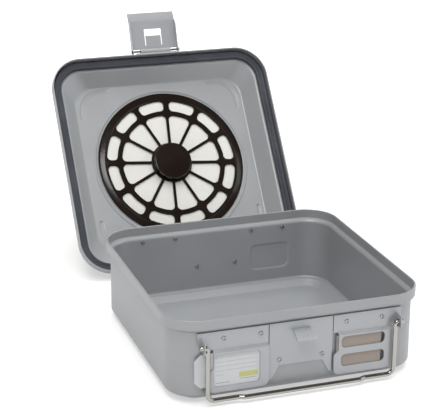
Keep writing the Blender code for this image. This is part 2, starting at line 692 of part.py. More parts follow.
def make_label_card(finish):
    """The card in the front left pocket. Its tongue sticks out of the open side."""
    low, top = card_levels()
    tongue_low = pocket_level(LABEL_TONGUE_LOW_SHARE)
    outline = [(-LABEL_CARD_INNER_X, low), (-LABEL_CARD_INNER_X, top),
               (-LABEL_TONGUE_X + LABEL_TONGUE_CUT, top), (-LABEL_TONGUE_X, top - LABEL_TONGUE_CUT),
               (-LABEL_TONGUE_X, tongue_low + LABEL_TONGUE_CUT),
               (-LABEL_TONGUE_X + LABEL_TONGUE_CUT, tongue_low),
               (-LABEL_TONGUE_ROOT_X, tongue_low), (-LABEL_TONGUE_ROOT_X, low)]
    solid = extrude_outline(outline, CARD_OUT - CARD_SHEET, CARD_OUT, on_front_wall)
    return make_object("label_card", *solid, finish)


def make_indicator_card(finish):
    low, top = card_levels()
    solid = wall_block(SLOT_CARD_NEAR_X, SLOT_CARD_FAR_X, CARD_OUT - CARD_SHEET, CARD_OUT, low, top)
    return make_object("indicator_card", *solid, finish)


def lid_corner_radius(inset, rim):
    """Tight at the shelf like the rim, wider on the panel."""
    slope_start = SHELF_WIDTH
    slope_end = SHELF_WIDTH + SLOPE_WIDTH
    if inset <= slope_start:
        return rim - inset
    share = min((inset - slope_start) / (slope_end - slope_start), 1)
    return (rim - slope_start) * (1 - share) + PANEL_RADIUS * share


def stack_arc_outline(sx, sy, width):
    """The corner arc with a short straight tail at each end."""
    centre = (sx * STACK_ARC_X, sy * STACK_ARC_Y)
    start = math.atan2(0, sx)
    end = start + math.pi / 2 * sx * sy
    outer = arc_points(centre, STACK_ARC_RADIUS + width / 2, start, end, CORNER_STEPS)
    inner = arc_points(centre, STACK_ARC_RADIUS - width / 2, start, end, CORNER_STEPS)
    tail_a = (0, -sy * STACK_ARC_TAIL)
    tail_b = (-sx * STACK_ARC_TAIL, 0)

    def shift(point, step):
        return (point[0] + step[0], point[1] + step[1])
    outer = [shift(outer[0], tail_a)] + outer + [shift(outer[-1], tail_b)]
    inner = [shift(inner[0], tail_a)] + inner + [shift(inner[-1], tail_b)]
    return outer + inner[::-1]


def make_lid_shell(parent, finish):
    outer = [(0, 0)]
    outer += bend((0, -SKIRT_DEPTH - LID_SHEET), (0, 0), (SHELF_WIDTH, -SKIRT_DEPTH - LID_SHEET), SKIRT_BEND)
    shelf_end = (SHELF_WIDTH, -SKIRT_DEPTH - LID_SHEET)
    slope_end = (SHELF_WIDTH + SLOPE_WIDTH, PANEL_Z - LID_SHEET)
    outer += bend(shelf_end, (0, shelf_end[1]), slope_end, SHELF_BEND)
    outer += bend(slope_end, shelf_end, (LID_Y / 2, slope_end[1]), SHELF_BEND)
    inner = offset_path(outer + [(LID_Y / 2, slope_end[1])], LID_SHEET)[:-1]
    solid = drawn_shell(LID_X / 2, LID_Y / 2, LID_RADIUS, outer, inner, lid_corner_radius)
    shell = make_object("lid_shell", *solid, finish, parent)
    corners = [(sx, sy) for sx in (1, -1) for sy in (1, -1)]
    back = PANEL_Z - LID_SHEET
    ridges = [extrude_outline(stack_arc_outline(sx, sy, STACK_ARC_WIDTH), back - STACK_ARC_HEIGHT,
                              back + WELD, lambda x, y, z: (x, y, z)) for sx, sy in corners]
    bead_low, bead_top = PANEL_Z - WELD, PANEL_Z + SEAT_BEAD_HEIGHT
    half = SEAT_BEAD_WIDTH / 2
    bead = [(SEAT_BEAD_RADIUS - half, bead_low), (SEAT_BEAD_RADIUS - half, PANEL_Z),
            (SEAT_BEAD_RADIUS - half / 2, bead_top), (SEAT_BEAD_RADIUS + half / 2, bead_top),
            (SEAT_BEAD_RADIUS + half, PANEL_Z), (SEAT_BEAD_RADIUS + half, bead_low)]
    use_cutter(shell, "lid_ridges", ridges + [revolve(bead, RETAINER_SIDES, True)], "UNION", parent)
    groove_floor = PANEL_Z - STACK_ARC_HEIGHT
    groove_width = STACK_ARC_WIDTH - LID_SHEET
    cuts = [extrude_outline(stack_arc_outline(sx, sy, groove_width), groove_floor, PANEL_Z + OVERRUN,
                            lambda x, y, z: (x, y, z)) for sx, sy in corners]
    for share, count in zip(PERFORATION_SHARES, PERFORATION_COUNTS):
        radius = RETAINER_RADIUS * share
        for k in range(count):
            turn = 2 * math.pi * k / count
            hole = arc_points((radius * math.cos(turn), radius * math.sin(turn)), PERFORATION_RADIUS,
                              0, 2 * math.pi, PERFORATION_SIDES)[:-1]
            cuts.append(extrude_outline(hole, back - OVERRUN, PANEL_Z + OVERRUN, lambda x, y, z: (x, y, z)))
    stud_hole = arc_points((0, 0), STUD_RADIUS + RUN_CLEARANCE, 0, 2 * math.pi, PIN_SIDES)[:-1]
    cuts.append(extrude_outline(stud_hole, back - OVERRUN, PANEL_Z + OVERRUN, lambda x, y, z: (x, y, z)))
    hole = RIVET_SHANK_RADIUS + RUN_CLEARANCE
    for sx in (1, -1):
        for sy in (1, -1):
            centre = (sx * BRACKET_RIVET_X, -LATCH_AXIS_DEPTH)
            outline = arc_points(centre, hole, 0, 2 * math.pi, RIVET_SIDES)[:-1]
            low, high = sorted((sy * (LID_Y / 2 - OVERRUN), sy * (LID_Y / 2 + OVERRUN)))
            cuts.append(extrude_outline(outline, low, high, lambda x, z, y: (x, y, z)))
    use_cutter(shell, "lid_cuts", cuts, "DIFFERENCE", parent)
    return shell


def make_gasket(parent, finish):
    """A closed strip on the lid's shelf, a little crowned, clear of the skirt."""
    near = LID_SHEET + GASKET_GAP_OUT
    far = near + GASKET_WIDTH
    floor = -SKIRT_DEPTH + GAP
    top = floor + GASKET_HEIGHT
    section = [(near + GASKET_CROWN, floor), (near, floor + GASKET_CROWN), (near, top - GASKET_CROWN),
               (near + GASKET_CROWN, top), (far - GASKET_CROWN, top), (far, top - GASKET_CROWN), (far, floor)]
    rings = []
    for inset, z in section:
        outline = rounded_rectangle(LID_X / 2 - inset, LID_Y / 2 - inset, LID_RADIUS - inset)
        rings.append([(x, y, z) for x, y in outline])
    return make_object("lid_gasket", *loft(rings, True), finish, parent)


def make_filter(parent, finish):
    low = PANEL_Z + GAP
    bore = STUD_RADIUS + RUN_CLEARANCE
    profile = [(bore, low), (bore, low + FILTER_SHEET), (FILTER_RADIUS, low + FILTER_SHEET),
               (FILTER_RADIUS, low)]
    return make_object("filter_paper", *revolve(profile, RETAINER_SIDES // 2, True), finish, parent)


def sector_window(inner, outer, half_gap, root_round, rim_round, centre_angle):
    """A window between two spokes of even width, with rounded corners.

    Its sides run parallel to the spokes at half_gap from their centre lines.
    """
    half_pitch = math.pi / SPOKES
    points = []
    for radius, corner, order in ((outer, rim_round, 1), (inner, root_round, -1)):
        edge = half_pitch - math.asin(half_gap / radius)
        run = corner / radius
        arc = np.linspace(-(edge - run), edge - run, 5) * order
        pull = radius - order * corner
        side = half_pitch - math.asin(half_gap / pull)
        ends = [(pull, -side * order), (pull, side * order)]
        shoulder = radius - order * corner * (1 - math.cos(math.pi / 4))
        trim = half_pitch - math.asin(half_gap / shoulder)
        blend = trim - run * (1 - math.cos(math.pi / 4))
        line = [ends[0], (shoulder, -blend * order)]
        line += [(radius, a) for a in arc]
        line += [(shoulder, blend * order), ends[1]]
        points += line
    return [(r * math.cos(a + centre_angle), r * math.sin(a + centre_angle)) for r, a in points]


def make_retainer(parent, finish):
    """The twelve-spoke grille that clamps the filter: a dished disc with rounded windows."""
    plate_low = PANEL_Z + RETAINER_RISE
    plate_top = plate_low + RETAINER_SHEET
    edge_low = PANEL_Z + GAP
    ridge_in = RETAINER_RIDGE_RADIUS - RETAINER_RIDGE_WIDTH
    foot_in = RETAINER_RADIUS - RETAINER_FOOT_WIDTH
    bore = STUD_RADIUS + RUN_CLEARANCE
    profile = [(bore, plate_low), (bore, plate_top + BOSS_HEIGHT), (BOSS_RADIUS, plate_top + BOSS_HEIGHT),
               (BOSS_RADIUS, plate_top), (ridge_in, plate_top),
               (RETAINER_RIDGE_RADIUS, plate_top + RETAINER_RIDGE_HEIGHT),
               (RETAINER_RADIUS - RETAINER_LIP_WIDTH, edge_low + RETAINER_SHEET),
               (RETAINER_RADIUS, edge_low + RETAINER_SHEET / 3), (RETAINER_RADIUS, edge_low),
               (foot_in, edge_low), (foot_in, plate_low)]
    plate = make_object("retainer_plate", *revolve(profile, RETAINER_SIDES, True), finish, parent)
    cuts = []
    for k in range(SPOKES):
        middle = SPOKE_START + (k + 1 / 2) * 2 * math.pi / SPOKES
        for outline in (
                sector_window(SLOT_INNER_RADIUS, SLOT_OUTER_RADIUS, BAR_WIDTH / 2, SLOT_ROUND, SLOT_ROUND, middle),
                sector_window(WEDGE_INNER_RADIUS, WEDGE_OUTER_RADIUS, SPOKE_WIDTH / 2,
                              WEDGE_ROOT_ROUND, WEDGE_ROUND, middle)):
            cuts.append(extrude_outline(outline, PANEL_Z - OVERRUN, plate_top + OVERRUN,
                                        lambda x, y, z: (x, y, z)))
    use_cutter(plate, "retainer_windows", cuts, "DIFFERENCE", parent)
    return plate


def button_levels():
    """Heights of the button's skirt bottom, ceiling and top at rest."""
    plate_top = PANEL_Z + RETAINER_RISE + RETAINER_SHEET
    skirt = plate_top + BUTTON_TRAVEL + 2 * GAP
    top = skirt + BUTTON_HEIGHT
    return plate_top, skirt, top - BUTTON_WALL - BUTTON_DOME, top


def make_button(parent, finish):
    plate_top, skirt, ceiling, top = button_levels()
    sleeve = BOSS_RADIUS + RUN_CLEARANCE
    sleeve_low = plate_top + BUTTON_TRAVEL + GAP
    profile = [(0, ceiling), (sleeve, ceiling), (sleeve, sleeve_low),
               (sleeve + BUTTON_SLEEVE_WALL, sleeve_low), (sleeve + BUTTON_SLEEVE_WALL, ceiling),
               (BUTTON_RADIUS - BUTTON_WALL, ceiling), (BUTTON_RADIUS - BUTTON_WALL, skirt),
               (BUTTON_RADIUS, skirt), (BUTTON_RADIUS, top - BUTTON_DOME - BUTTON_EDGE),
               (BUTTON_RADIUS - BUTTON_EDGE, top - BUTTON_DOME), (BUTTON_RADIUS / 2, top - BUTTON_DOME / 4),
               (0, top)]
    return make_object("retainer_button", *revolve(profile, BUTTON_SIDES), finish, parent)


def make_button_spring(parent, finish):
    """A helix from the retainer's plate to the button's ceiling."""
    plate_top, _, ceiling, _ = button_levels()
    low = plate_top + GAP + SPRING_WIRE_RADIUS
    high = ceiling - GAP - SPRING_WIRE_RADIUS
    count = SPRING_TURNS * SPRING_POINTS_PER_TURN
    points = []
    for k in range(count + 1):
        turn = 2 * math.pi * k / SPRING_POINTS_PER_TURN
        height = low + (high - low) * k / count
        points.append((SPRING_RADIUS * math.cos(turn), SPRING_RADIUS * math.sin(turn), height))
    return tube_object("button_spring", points, SPRING_WIRE_RADIUS, finish, parent, 1)


def make_stud(parent, finish):
    """The post that the retainer locks on, headed on the lid's outside."""
    plate_top, _, _, _ = button_levels()
    back = PANEL_Z - LID_SHEET - GAP
    end = plate_top - STUD_TIP_DROP
    profile = [(0, back - STUD_HEAD_HEIGHT), (STUD_HEAD_RADIUS - STUD_CHAMFER, back - STUD_HEAD_HEIGHT),
               (STUD_HEAD_RADIUS, back - STUD_HEAD_HEIGHT + STUD_CHAMFER), (STUD_HEAD_RADIUS, back),
               (STUD_RADIUS, back), (STUD_RADIUS, end - STUD_CHAMFER), (STUD_RADIUS - STUD_CHAMFER, end),
               (0, end)]
    return make_object("lid_stud", *revolve(profile, BUTTON_SIDES // 2), finish, parent)


def make_latch(name, parent, finish, angle):
    """The latch in its own frame: hinge axis along X, pointing +Z when engaged, turned open."""
    hinge = make_empty(name + "_axis", (0, LID_Y / 2 + LATCH_AXIS_OUT, -LATCH_AXIS_DEPTH), (-angle, 0, 0), parent)
    near, far = LATCH_STANDOFF, LATCH_STANDOFF + LATCH_SHEET
    lean = math.sin(LATCH_GRIP_ANGLE) * LATCH_GRIP
    rise = math.cos(LATCH_GRIP_ANGLE) * LATCH_GRIP
    sheet = [(near, LATCH_FLANGE_START), (near, LATCH_LENGTH), (near + lean, LATCH_LENGTH + rise),
             (far + lean, LATCH_LENGTH + rise), (far, LATCH_LENGTH), (far, LATCH_FLANGE_START)]
    plate = extrude_outline(sheet, -LATCH_HALF_WIDTH, LATCH_HALF_WIDTH, along_x)
    latch = make_object(name, *plate, finish, hinge)
    flanges = []
    flange_in = far - WELD - LATCH_FLANGE
    for side in (1, -1):
        low, high = sorted((side * LATCH_HALF_WIDTH, side * (LATCH_HALF_WIDTH - LATCH_SHEET)))
        ear = arc_points((0, 0), LATCH_EAR_RADIUS, math.pi, 1.5 * math.pi, ARC_STEPS)
        outline = ear + [(far - WELD, -LATCH_EAR_RADIUS), (far - WELD, LATCH_LENGTH - LATCH_SHEET),
                         (flange_in + LATCH_FLANGE / 2, LATCH_LENGTH - LATCH_SHEET),
                         (flange_in, LATCH_LENGTH - LATCH_FLANGE), (flange_in, LATCH_EAR_RADIUS),
                         (-LATCH_EAR_RADIUS, 0)]
        flanges.append(extrude_outline(outline[:-1], low, high, along_x))
    use_cutter(latch, name + "_flanges", flanges, "UNION", hinge)
    cuts = [cylinder_x(0, 0, PIN_RADIUS + RUN_CLEARANCE, -LATCH_HALF_WIDTH - OVERRUN, LATCH_HALF_WIDTH + OVERRUN)]
    tongue = LATCH_HOLE_HALF_WIDTH - LATCH_TONGUE_SLIT
    outline = [(-LATCH_HOLE_HALF_WIDTH, LATCH_TONGUE_ROOT), (-tongue, LATCH_TONGUE_ROOT),
               (-tongue, LATCH_HOLE_NEAR), (tongue, LATCH_HOLE_NEAR), (tongue, LATCH_TONGUE_ROOT),
               (LATCH_HOLE_HALF_WIDTH, LATCH_TONGUE_ROOT), (LATCH_HOLE_HALF_WIDTH, LATCH_HOLE_FAR),
               (-LATCH_HOLE_HALF_WIDTH, LATCH_HOLE_FAR)]
    cuts.append(extrude_outline(outline, near - LATCH_SHEET, far + LATCH_SHEET, lambda x, z, y: (x, y, z)))
    use_cutter(latch, name + "_cuts", cuts, "DIFFERENCE", hinge)
    return latch


def make_bracket(name, parent, finish):
    """A leaf riveted to the skirt, with a barrel for the hinge pin."""
    face = LID_Y / 2 + GAP
    axis_y, axis_z = LID_Y / 2 + LATCH_AXIS_OUT, -LATCH_AXIS_DEPTH
    leaf = block((-BRACKET_HALF_WIDTH, face, -BRACKET_FAR), (BRACKET_HALF_WIDTH, face + LATCH_SHEET, -BRACKET_NEAR))
    bracket = make_object(name, *leaf, finish, parent)
    web = block((-BARREL_HALF_WIDTH + WELD, face + WELD, axis_z - BRACKET_WEB / 2),
                (BARREL_HALF_WIDTH - WELD, axis_y, axis_z + BRACKET_WEB / 2))
    use_cutter(bracket, name + "_web", [web], "UNION", parent)
    barrel = cylinder_x(axis_y, axis_z, BARREL_RADIUS, -BARREL_HALF_WIDTH, BARREL_HALF_WIDTH, 2 * PIN_SIDES)
    use_cutter(bracket, name + "_barrel", [barrel], "UNION", parent)
    reach = BARREL_HALF_WIDTH + OVERRUN
    cuts = [cylinder_x(axis_y, axis_z, PIN_RADIUS + RUN_CLEARANCE, -reach, reach)]
    hole = RIVET_SHANK_RADIUS + RUN_CLEARANCE
    for side in (1, -1):
        outline = arc_points((side * BRACKET_RIVET_X, axis_z), hole, 0, 2 * math.pi, RIVET_SIDES)[:-1]
        cuts.append(extrude_outline(outline, face - OVERRUN, face + OVERRUN, lambda x, z, y: (x, y, z)))
    use_cutter(bracket, name + "_cuts", cuts, "DIFFERENCE", parent)
    return bracket


def make_latch_pin(name, parent, finish):
    reach = LATCH_HALF_WIDTH + GAP
    axis_y, axis_z = LID_Y / 2 + LATCH_AXIS_OUT, -LATCH_AXIS_DEPTH
    profile = [(0, -reach - PIN_HEAD_LENGTH), (PIN_HEAD_RADIUS, -reach - PIN_HEAD_LENGTH),
               (PIN_HEAD_RADIUS, -reach), (PIN_RADIUS, -reach), (PIN_RADIUS, reach),
               (PIN_HEAD_RADIUS, reach), (PIN_HEAD_RADIUS, reach + PIN_HEAD_LENGTH), (0, reach + PIN_HEAD_LENGTH)]
    verts, faces = revolve(profile, PIN_SIDES)
    return make_object(name, [(z, axis_y + x, axis_z + y) for x, y, z in verts], faces, finish, parent)


def make_latch_rivets(name, parent, finish):
    """Two rivets through the skirt and the bracket's leaf, headed flat on the inside."""
    outside = LID_Y / 2 + GAP + LATCH_SHEET + GAP
    inside = LID_Y / 2 - LID_SHEET - GAP
    crown = RIVET_HEAD_RADIUS * RIVET_CROWN_SHARE
    inner_head = GASKET_GAP_OUT - 2 * GAP
    profile = [(0, inside - inner_head), (RIVET_HEAD_RADIUS, inside - inner_head), (RIVET_HEAD_RADIUS, inside),
               (RIVET_SHANK_RADIUS, inside), (RIVET_SHANK_RADIUS, outside), (RIVET_HEAD_RADIUS, outside),
               (crown, outside + RIVET_HEAD_HEIGHT), (0, outside + RIVET_HEAD_HEIGHT)]
    for number, side in enumerate((1, -1), 1):
        verts, faces = revolve(profile, RIVET_SIDES)
        placed = [(side * BRACKET_RIVET_X + x, z, y - LATCH_AXIS_DEPTH) for x, y, z in verts]
        make_object(f"{name}_{number}", placed, faces, finish, parent)


def make_lid(metal, rubber, black, paper, steel, rivet_metal):
    """Everything on the lid, in the lid's frame: centre of the skirt's edge plane, inside to +Z."""
    reach = LID_Y / 2
    centre = (LID_STAND_X, LID_STAND_Y + reach * math.sin(LID_TILT), LID_STAND_Z + reach * math.cos(LID_TILT))
    frame = make_empty("lid_frame", centre, (math.pi / 2 - LID_TILT, 0, 0))
    make_lid_shell(frame, metal)
    make_gasket(frame, rubber)
    make_filter(frame, paper)
    make_retainer(frame, black)
    make_button(frame, black)
    make_button_spring(frame, steel)
    make_stud(frame, steel)
    for side, turn, angle in (("front", 0, FRONT_LATCH_ANGLE), ("rear", math.pi, REAR_LATCH_ANGLE)):
        edge = make_empty(side + "_lid_edge", (0, 0, 0), (0, 0, turn), frame)
        make_bracket(side + "_latch_bracket", edge, metal)
        make_latch(side + "_latch", edge, metal, angle)
        make_latch_pin(side + "_latch_pin", edge, steel)
        make_latch_rivets(side + "_latch_rivet", edge, rivet_metal)


def main():
    clear_scene()
    anodised = make_material("anodised_aluminium", (0.40, 0.42, 0.44), 0.38, 0.85)
    fitting = make_material("fitting_aluminium", (0.44, 0.46, 0.48), 0.32, 0.85)
    polished = make_material("polished_steel", (0.62, 0.60, 0.57), 0.16, 1.0)
    rivet_metal = make_material("rivet_steel", (0.30, 0.30, 0.31), 0.35, 1.0)
    rubber = make_material("gasket_silicone", (0.09, 0.09, 0.10), 0.55, 0.0)
    black = make_material("retainer_black", (0.012, 0.010, 0.009), 0.18, 0.0)
    paper = make_material("filter_paper", (0.50, 0.50, 0.48), 0.85, 0.0)
    card = make_material("label_card", (0.66, 0.68, 0.70), 0.60, 0.0)
    indicator = make_material("indicator_card", (0.36, 0.32, 0.29), 0.70, 0.0)
    make_base_shell(anodised)
    make_wall_set("front", 0, FRONT_RIVET_DROP, fitting, polished, rivet_metal)
    make_wall_set("rear", math.pi, REAR_RIVET_DROP, fitting, polished, rivet_metal)
    make_label_card(card)
    make_indicator_card(indicator)
    make_lid(anodised, rubber, black, paper, polished, rivet_metal)
    bpy.context.view_layer.update()


main()
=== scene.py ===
"""An open sterilization container with its lid stood behind it, dressed for a studio picture.

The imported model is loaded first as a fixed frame, in metres. Each operator then adds one piece or one
group of like pieces over it, in place, and the stage comes last.
"""
import math

import bmesh
import bpy
import numpy as np
from bpy.props import FloatProperty, FloatVectorProperty, IntProperty, PointerProperty
from mathutils import Matrix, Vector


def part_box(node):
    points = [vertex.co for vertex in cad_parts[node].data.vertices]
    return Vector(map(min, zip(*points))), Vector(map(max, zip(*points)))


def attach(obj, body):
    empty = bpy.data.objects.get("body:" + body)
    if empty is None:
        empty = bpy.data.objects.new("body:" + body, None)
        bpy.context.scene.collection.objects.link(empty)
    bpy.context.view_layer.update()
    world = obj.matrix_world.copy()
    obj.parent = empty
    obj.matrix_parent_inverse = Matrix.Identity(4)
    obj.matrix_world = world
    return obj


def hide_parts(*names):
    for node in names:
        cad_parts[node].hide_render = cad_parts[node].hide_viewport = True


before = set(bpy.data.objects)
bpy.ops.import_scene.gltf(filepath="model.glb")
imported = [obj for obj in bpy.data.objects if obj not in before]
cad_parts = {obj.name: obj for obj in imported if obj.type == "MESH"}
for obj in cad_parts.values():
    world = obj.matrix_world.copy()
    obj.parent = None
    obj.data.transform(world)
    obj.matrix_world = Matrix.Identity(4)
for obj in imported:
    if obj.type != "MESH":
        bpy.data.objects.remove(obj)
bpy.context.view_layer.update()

bl_info = {
    "name": "Sterilization Container",
    "version": (1, 0, 0),
    "blender": (4, 5, 0),
    "location": "3D View > Sidebar > Container",
    "description": "Builds the drawn base, the lid and their fittings over the packed model",
    "category": "Object",
}

STANDING_BACK = (0.0, 0.59793, 0.80155)
LID_OUTWARD = (0.0, -0.80155, 0.59793)
CAMERA_RIGHT = (0.94507, -0.32678, 0.00754)
CAMERA_DOWN = (-0.10323, -0.32026, -0.94169)

# Share of the retainer's radius at which each ring of perforations lies, and its number of holes
PERFORATION_RINGS = ((0.295, 8), (0.526, 16), (0.758, 24))

# Points nearer than this are one point, in metres: in a flat plate, a lid's seam and a packed copy
PLATE_MERGE, SEAM_MERGE, COPY_MERGE = 0.000002, 0.000004, 0.000005

# Angles in degrees over which an edge stays sharp
SHEET_SHARP, MOULDING_SHARP, RIM_SHARP, GRILLE_SHARP = 40.0, 50.0, 45.0, 60.0

# Bends of the small corners, in metres, in the order of their profiles
GASKET_GROOVE_BENDS = (0.0004, 0.0005, 0.0005, 0.0004)
GASKET_INNER_BEND = 0.0006
RIM_BENDS = (0.0002, 0.0002, 0.0003, 0.0005, 0.0010, 0.0003, 0.0003, 0.0003, 0.0003, 0.0002)
BOSS_BENDS = (0.0001, 0.0003, 0.0001)
SKIRT_BENDS = (0.0003, 0.0003, 0.0004)
BUTTON_CROWN_BEND = 0.05
STUD_BENDS = (0.0007, 0.0002, 0.0002, 0.0006)
FILTER_BENDS = (0.0002, 0.0002, 0.0001)

# The label's print, in metres: each area is its span across and its span up
LABEL_PITCH = 0.0048
LABEL_RULE_SHARES = (0.42, 0.54)
LABEL_SHORT_LINES = ((-0.0925, -0.0835), (0.0285, 0.0512))
LABEL_LONG_LINES = ((-0.0820, -0.0478), (0.0345, 0.0512))
LABEL_BAR = ((-0.0672, -0.0470), (0.0262, 0.0318))
LABEL_BAR_LINE = ((-0.0660, -0.0490), (0.0241, 0.0247))
LABEL_FOOT_LINE = ((-0.0925, -0.0770), (0.0222, 0.0229))
LABEL_EDGE_SOFTNESS = 0.00012
LABEL_RULE_SOFTNESS = 0.05
LABEL_LINE_DEPTH = 0.75


def length(name, text, value):
    return FloatProperty(name=name, description=text, default=value, min=0.0, precision=5,
                         unit="LENGTH", subtype="DISTANCE")


def height_of(name, text, value):
    return FloatProperty(name=name, description=text, default=value, precision=5,
                         unit="LENGTH", subtype="DISTANCE")


def share(name, text, value):
    return FloatProperty(name=name, description=text, default=value, min=0.0, max=1.0, subtype="FACTOR")


def colour(name, text, value):
    return FloatVectorProperty(name=name, description=text, default=value, size=3, min=0.0, max=1.0,
                               subtype="COLOR")


def spot(name, text, value):
    return FloatVectorProperty(name=name, description=text, default=value, subtype="TRANSLATION")


def power(name, text, value):
    return FloatProperty(name=name, description=text, default=value, min=0.0, unit="POWER")


def count(name, text, value):
    return IntProperty(name=name, description=text, default=value, min=1)


class BaseSizes(bpy.types.PropertyGroup):
    rim_x: length("Rim length", "Base over its rim from left to right", 0.279)
    rim_y: length("Rim depth", "Base over its rim from front to back", 0.274)
    rim_radius: length("Rim radius", "Outer corner radius at the rim", 0.037)
    height: length("Height", "From the foot to the rim", 0.093)
    sheet: length("Sheet", "Thickness of the drawn sheet", 0.002)
    band_height: length("Band height", "Height of the rim band above its joggle", 0.0112)
    joggle_in: length("Joggle depth", "How far the wall stands inside the band", 0.00425)
    joggle_drop: length("Joggle drop", "Height of the joggle", 0.0026)
    ledge_height: length("Ledge height", "Height of the step over the foot", 0.0064)
    ledge_width: length("Ledge width", "Width of the step's flat", 0.0062)
    foot_slope_in: length("Foot slope", "How far the foot's side slopes in", 0.0085)
    foot_radius: length("Foot bend", "Bend of the foot's lower edge", 0.0040)
    step_radius: length("Step bend", "Bend at the root of the foot's slope", 0.0020)
    ledge_radius: length("Ledge bend", "Bend from the wall to the step", 0.0048)
    joggle_radius: length("Joggle bend", "Bend at the joggle's lower end", 0.0025)
    band_radius: length("Band bend", "Bend at the band's lower edge", 0.0030)
    edge_radius: length("Edge radius", "Rounding of the sheet's cut edge", 0.0006)
    emboss_x: length("Emboss place", "Centre of the pressed panel from the middle", 0.0675)
    emboss_width: length("Emboss width", "Width of the pressed panel", 0.0462)
    emboss_low: length("Emboss foot", "Lower edge of the pressed panel", 0.0258)
    emboss_top: length("Emboss head", "Upper edge of the pressed panel", 0.0547)
    emboss_radius: length("Emboss radius", "Corner radius of the pressed panel", 0.0060)
    emboss_depth: length("Emboss depth", "How far the panel is pressed out", 0.0011)
    emboss_draft: length("Emboss draft", "Width of the pressed panel's sloped edge", 0.0018)


class LidSizes(bpy.types.PropertyGroup):
    lid_x: length("Lid length", "Lid over its skirt from left to right", 0.285)
    lid_y: length("Lid depth", "Lid over its skirt from latch to latch", 0.280)
    radius: length("Lid radius", "Outer corner radius of the skirt", 0.040)
    sheet: length("Sheet", "Thickness of the drawn sheet", 0.0015)
    skirt_depth: length("Skirt depth", "From the skirt's edge to the shelf", 0.0120)
    shelf_width: length("Shelf width", "Width of the shelf that holds the gasket", 0.0136)
    slope_width: length("Slope width", "Width of the sloped wall", 0.0164)
    panel_depth: length("Panel depth", "From the skirt's edge to the panel", 0.0300)
    panel_radius: length("Panel radius", "Corner radius of the panel", 0.0260)
    skirt_bend: length("Skirt bend", "Bend from the skirt to the shelf", 0.0040)
    shelf_bend: length("Shelf bend", "Bend from the shelf to the slope", 0.0025)
    panel_bend: length("Panel bend", "Bend from the slope to the panel", 0.0045)
    edge_radius: length("Edge radius", "Rounding of the skirt's cut edge", 0.0005)
    arc_x: length("Arc place across", "Centre of a stacking arc from the middle", 0.0760)
    arc_y: length("Arc place along", "Centre of a stacking arc from the middle", 0.0770)
    arc_radius: length("Arc radius", "Radius of a stacking arc", 0.0280)
    arc_tail: length("Arc tail", "Straight end of a stacking arc", 0.0080)
    arc_width: length("Arc width", "Width of a stacking arc", 0.0046)
    arc_height: length("Arc height", "How far a stacking arc is pressed", 0.0014)
    bead_radius: length("Bead radius", "Radius of the raised seat round the retainer", 0.0990)
    bead_width: length("Bead width", "Width of the raised seat", 0.0044)
    bead_height: length("Bead height", "Height of the raised seat", 0.0012)
    bead_outer: length("Bead outer edge", "Where the flat panel ends", 0.1035)
    disc_radius: length("Disc radius", "Radius of the perforated disc", 0.0940)
    hole_radius: length("Hole radius", "Radius of a perforation", 0.0030)
    panel_lap: length("Panel lap", "Flat of the panel that is drawn with the wall", 0.0025)
    arc_blend: length("Arc blend", "How far an arc's slope runs past its width", 0.0006)
    gasket_lift: length("Gasket lift", "Clearance between gasket and shelf", 0.0003)
    groove_top: length("Groove top", "Half width of the gasket's channel at its top", 0.0022)
    groove_foot: length("Groove foot", "Half width of the gasket's channel at its bottom", 0.0012)
    gasket_gap: length("Gasket gap", "Space between skirt and gasket", 0.0009)
    gasket_width: length("Gasket width", "Width of the gasket", 0.0096)
    gasket_height: length("Gasket height", "Height of the gasket", 0.0052)
    gasket_radius: length("Gasket radius", "Rounding of the gasket's edges", 0.0014)
    gasket_groove: length("Gasket groove", "Depth of the channel along the gasket", 0.0006)
    place_x: height_of("Lid place across", "Centre of the skirt's edge plane", 0.0015)
    place_y: height_of("Lid place back", "Centre of the skirt's edge plane", 0.28741)
    place_z: height_of("Lid place up", "Centre of the skirt's edge plane", 0.125717)


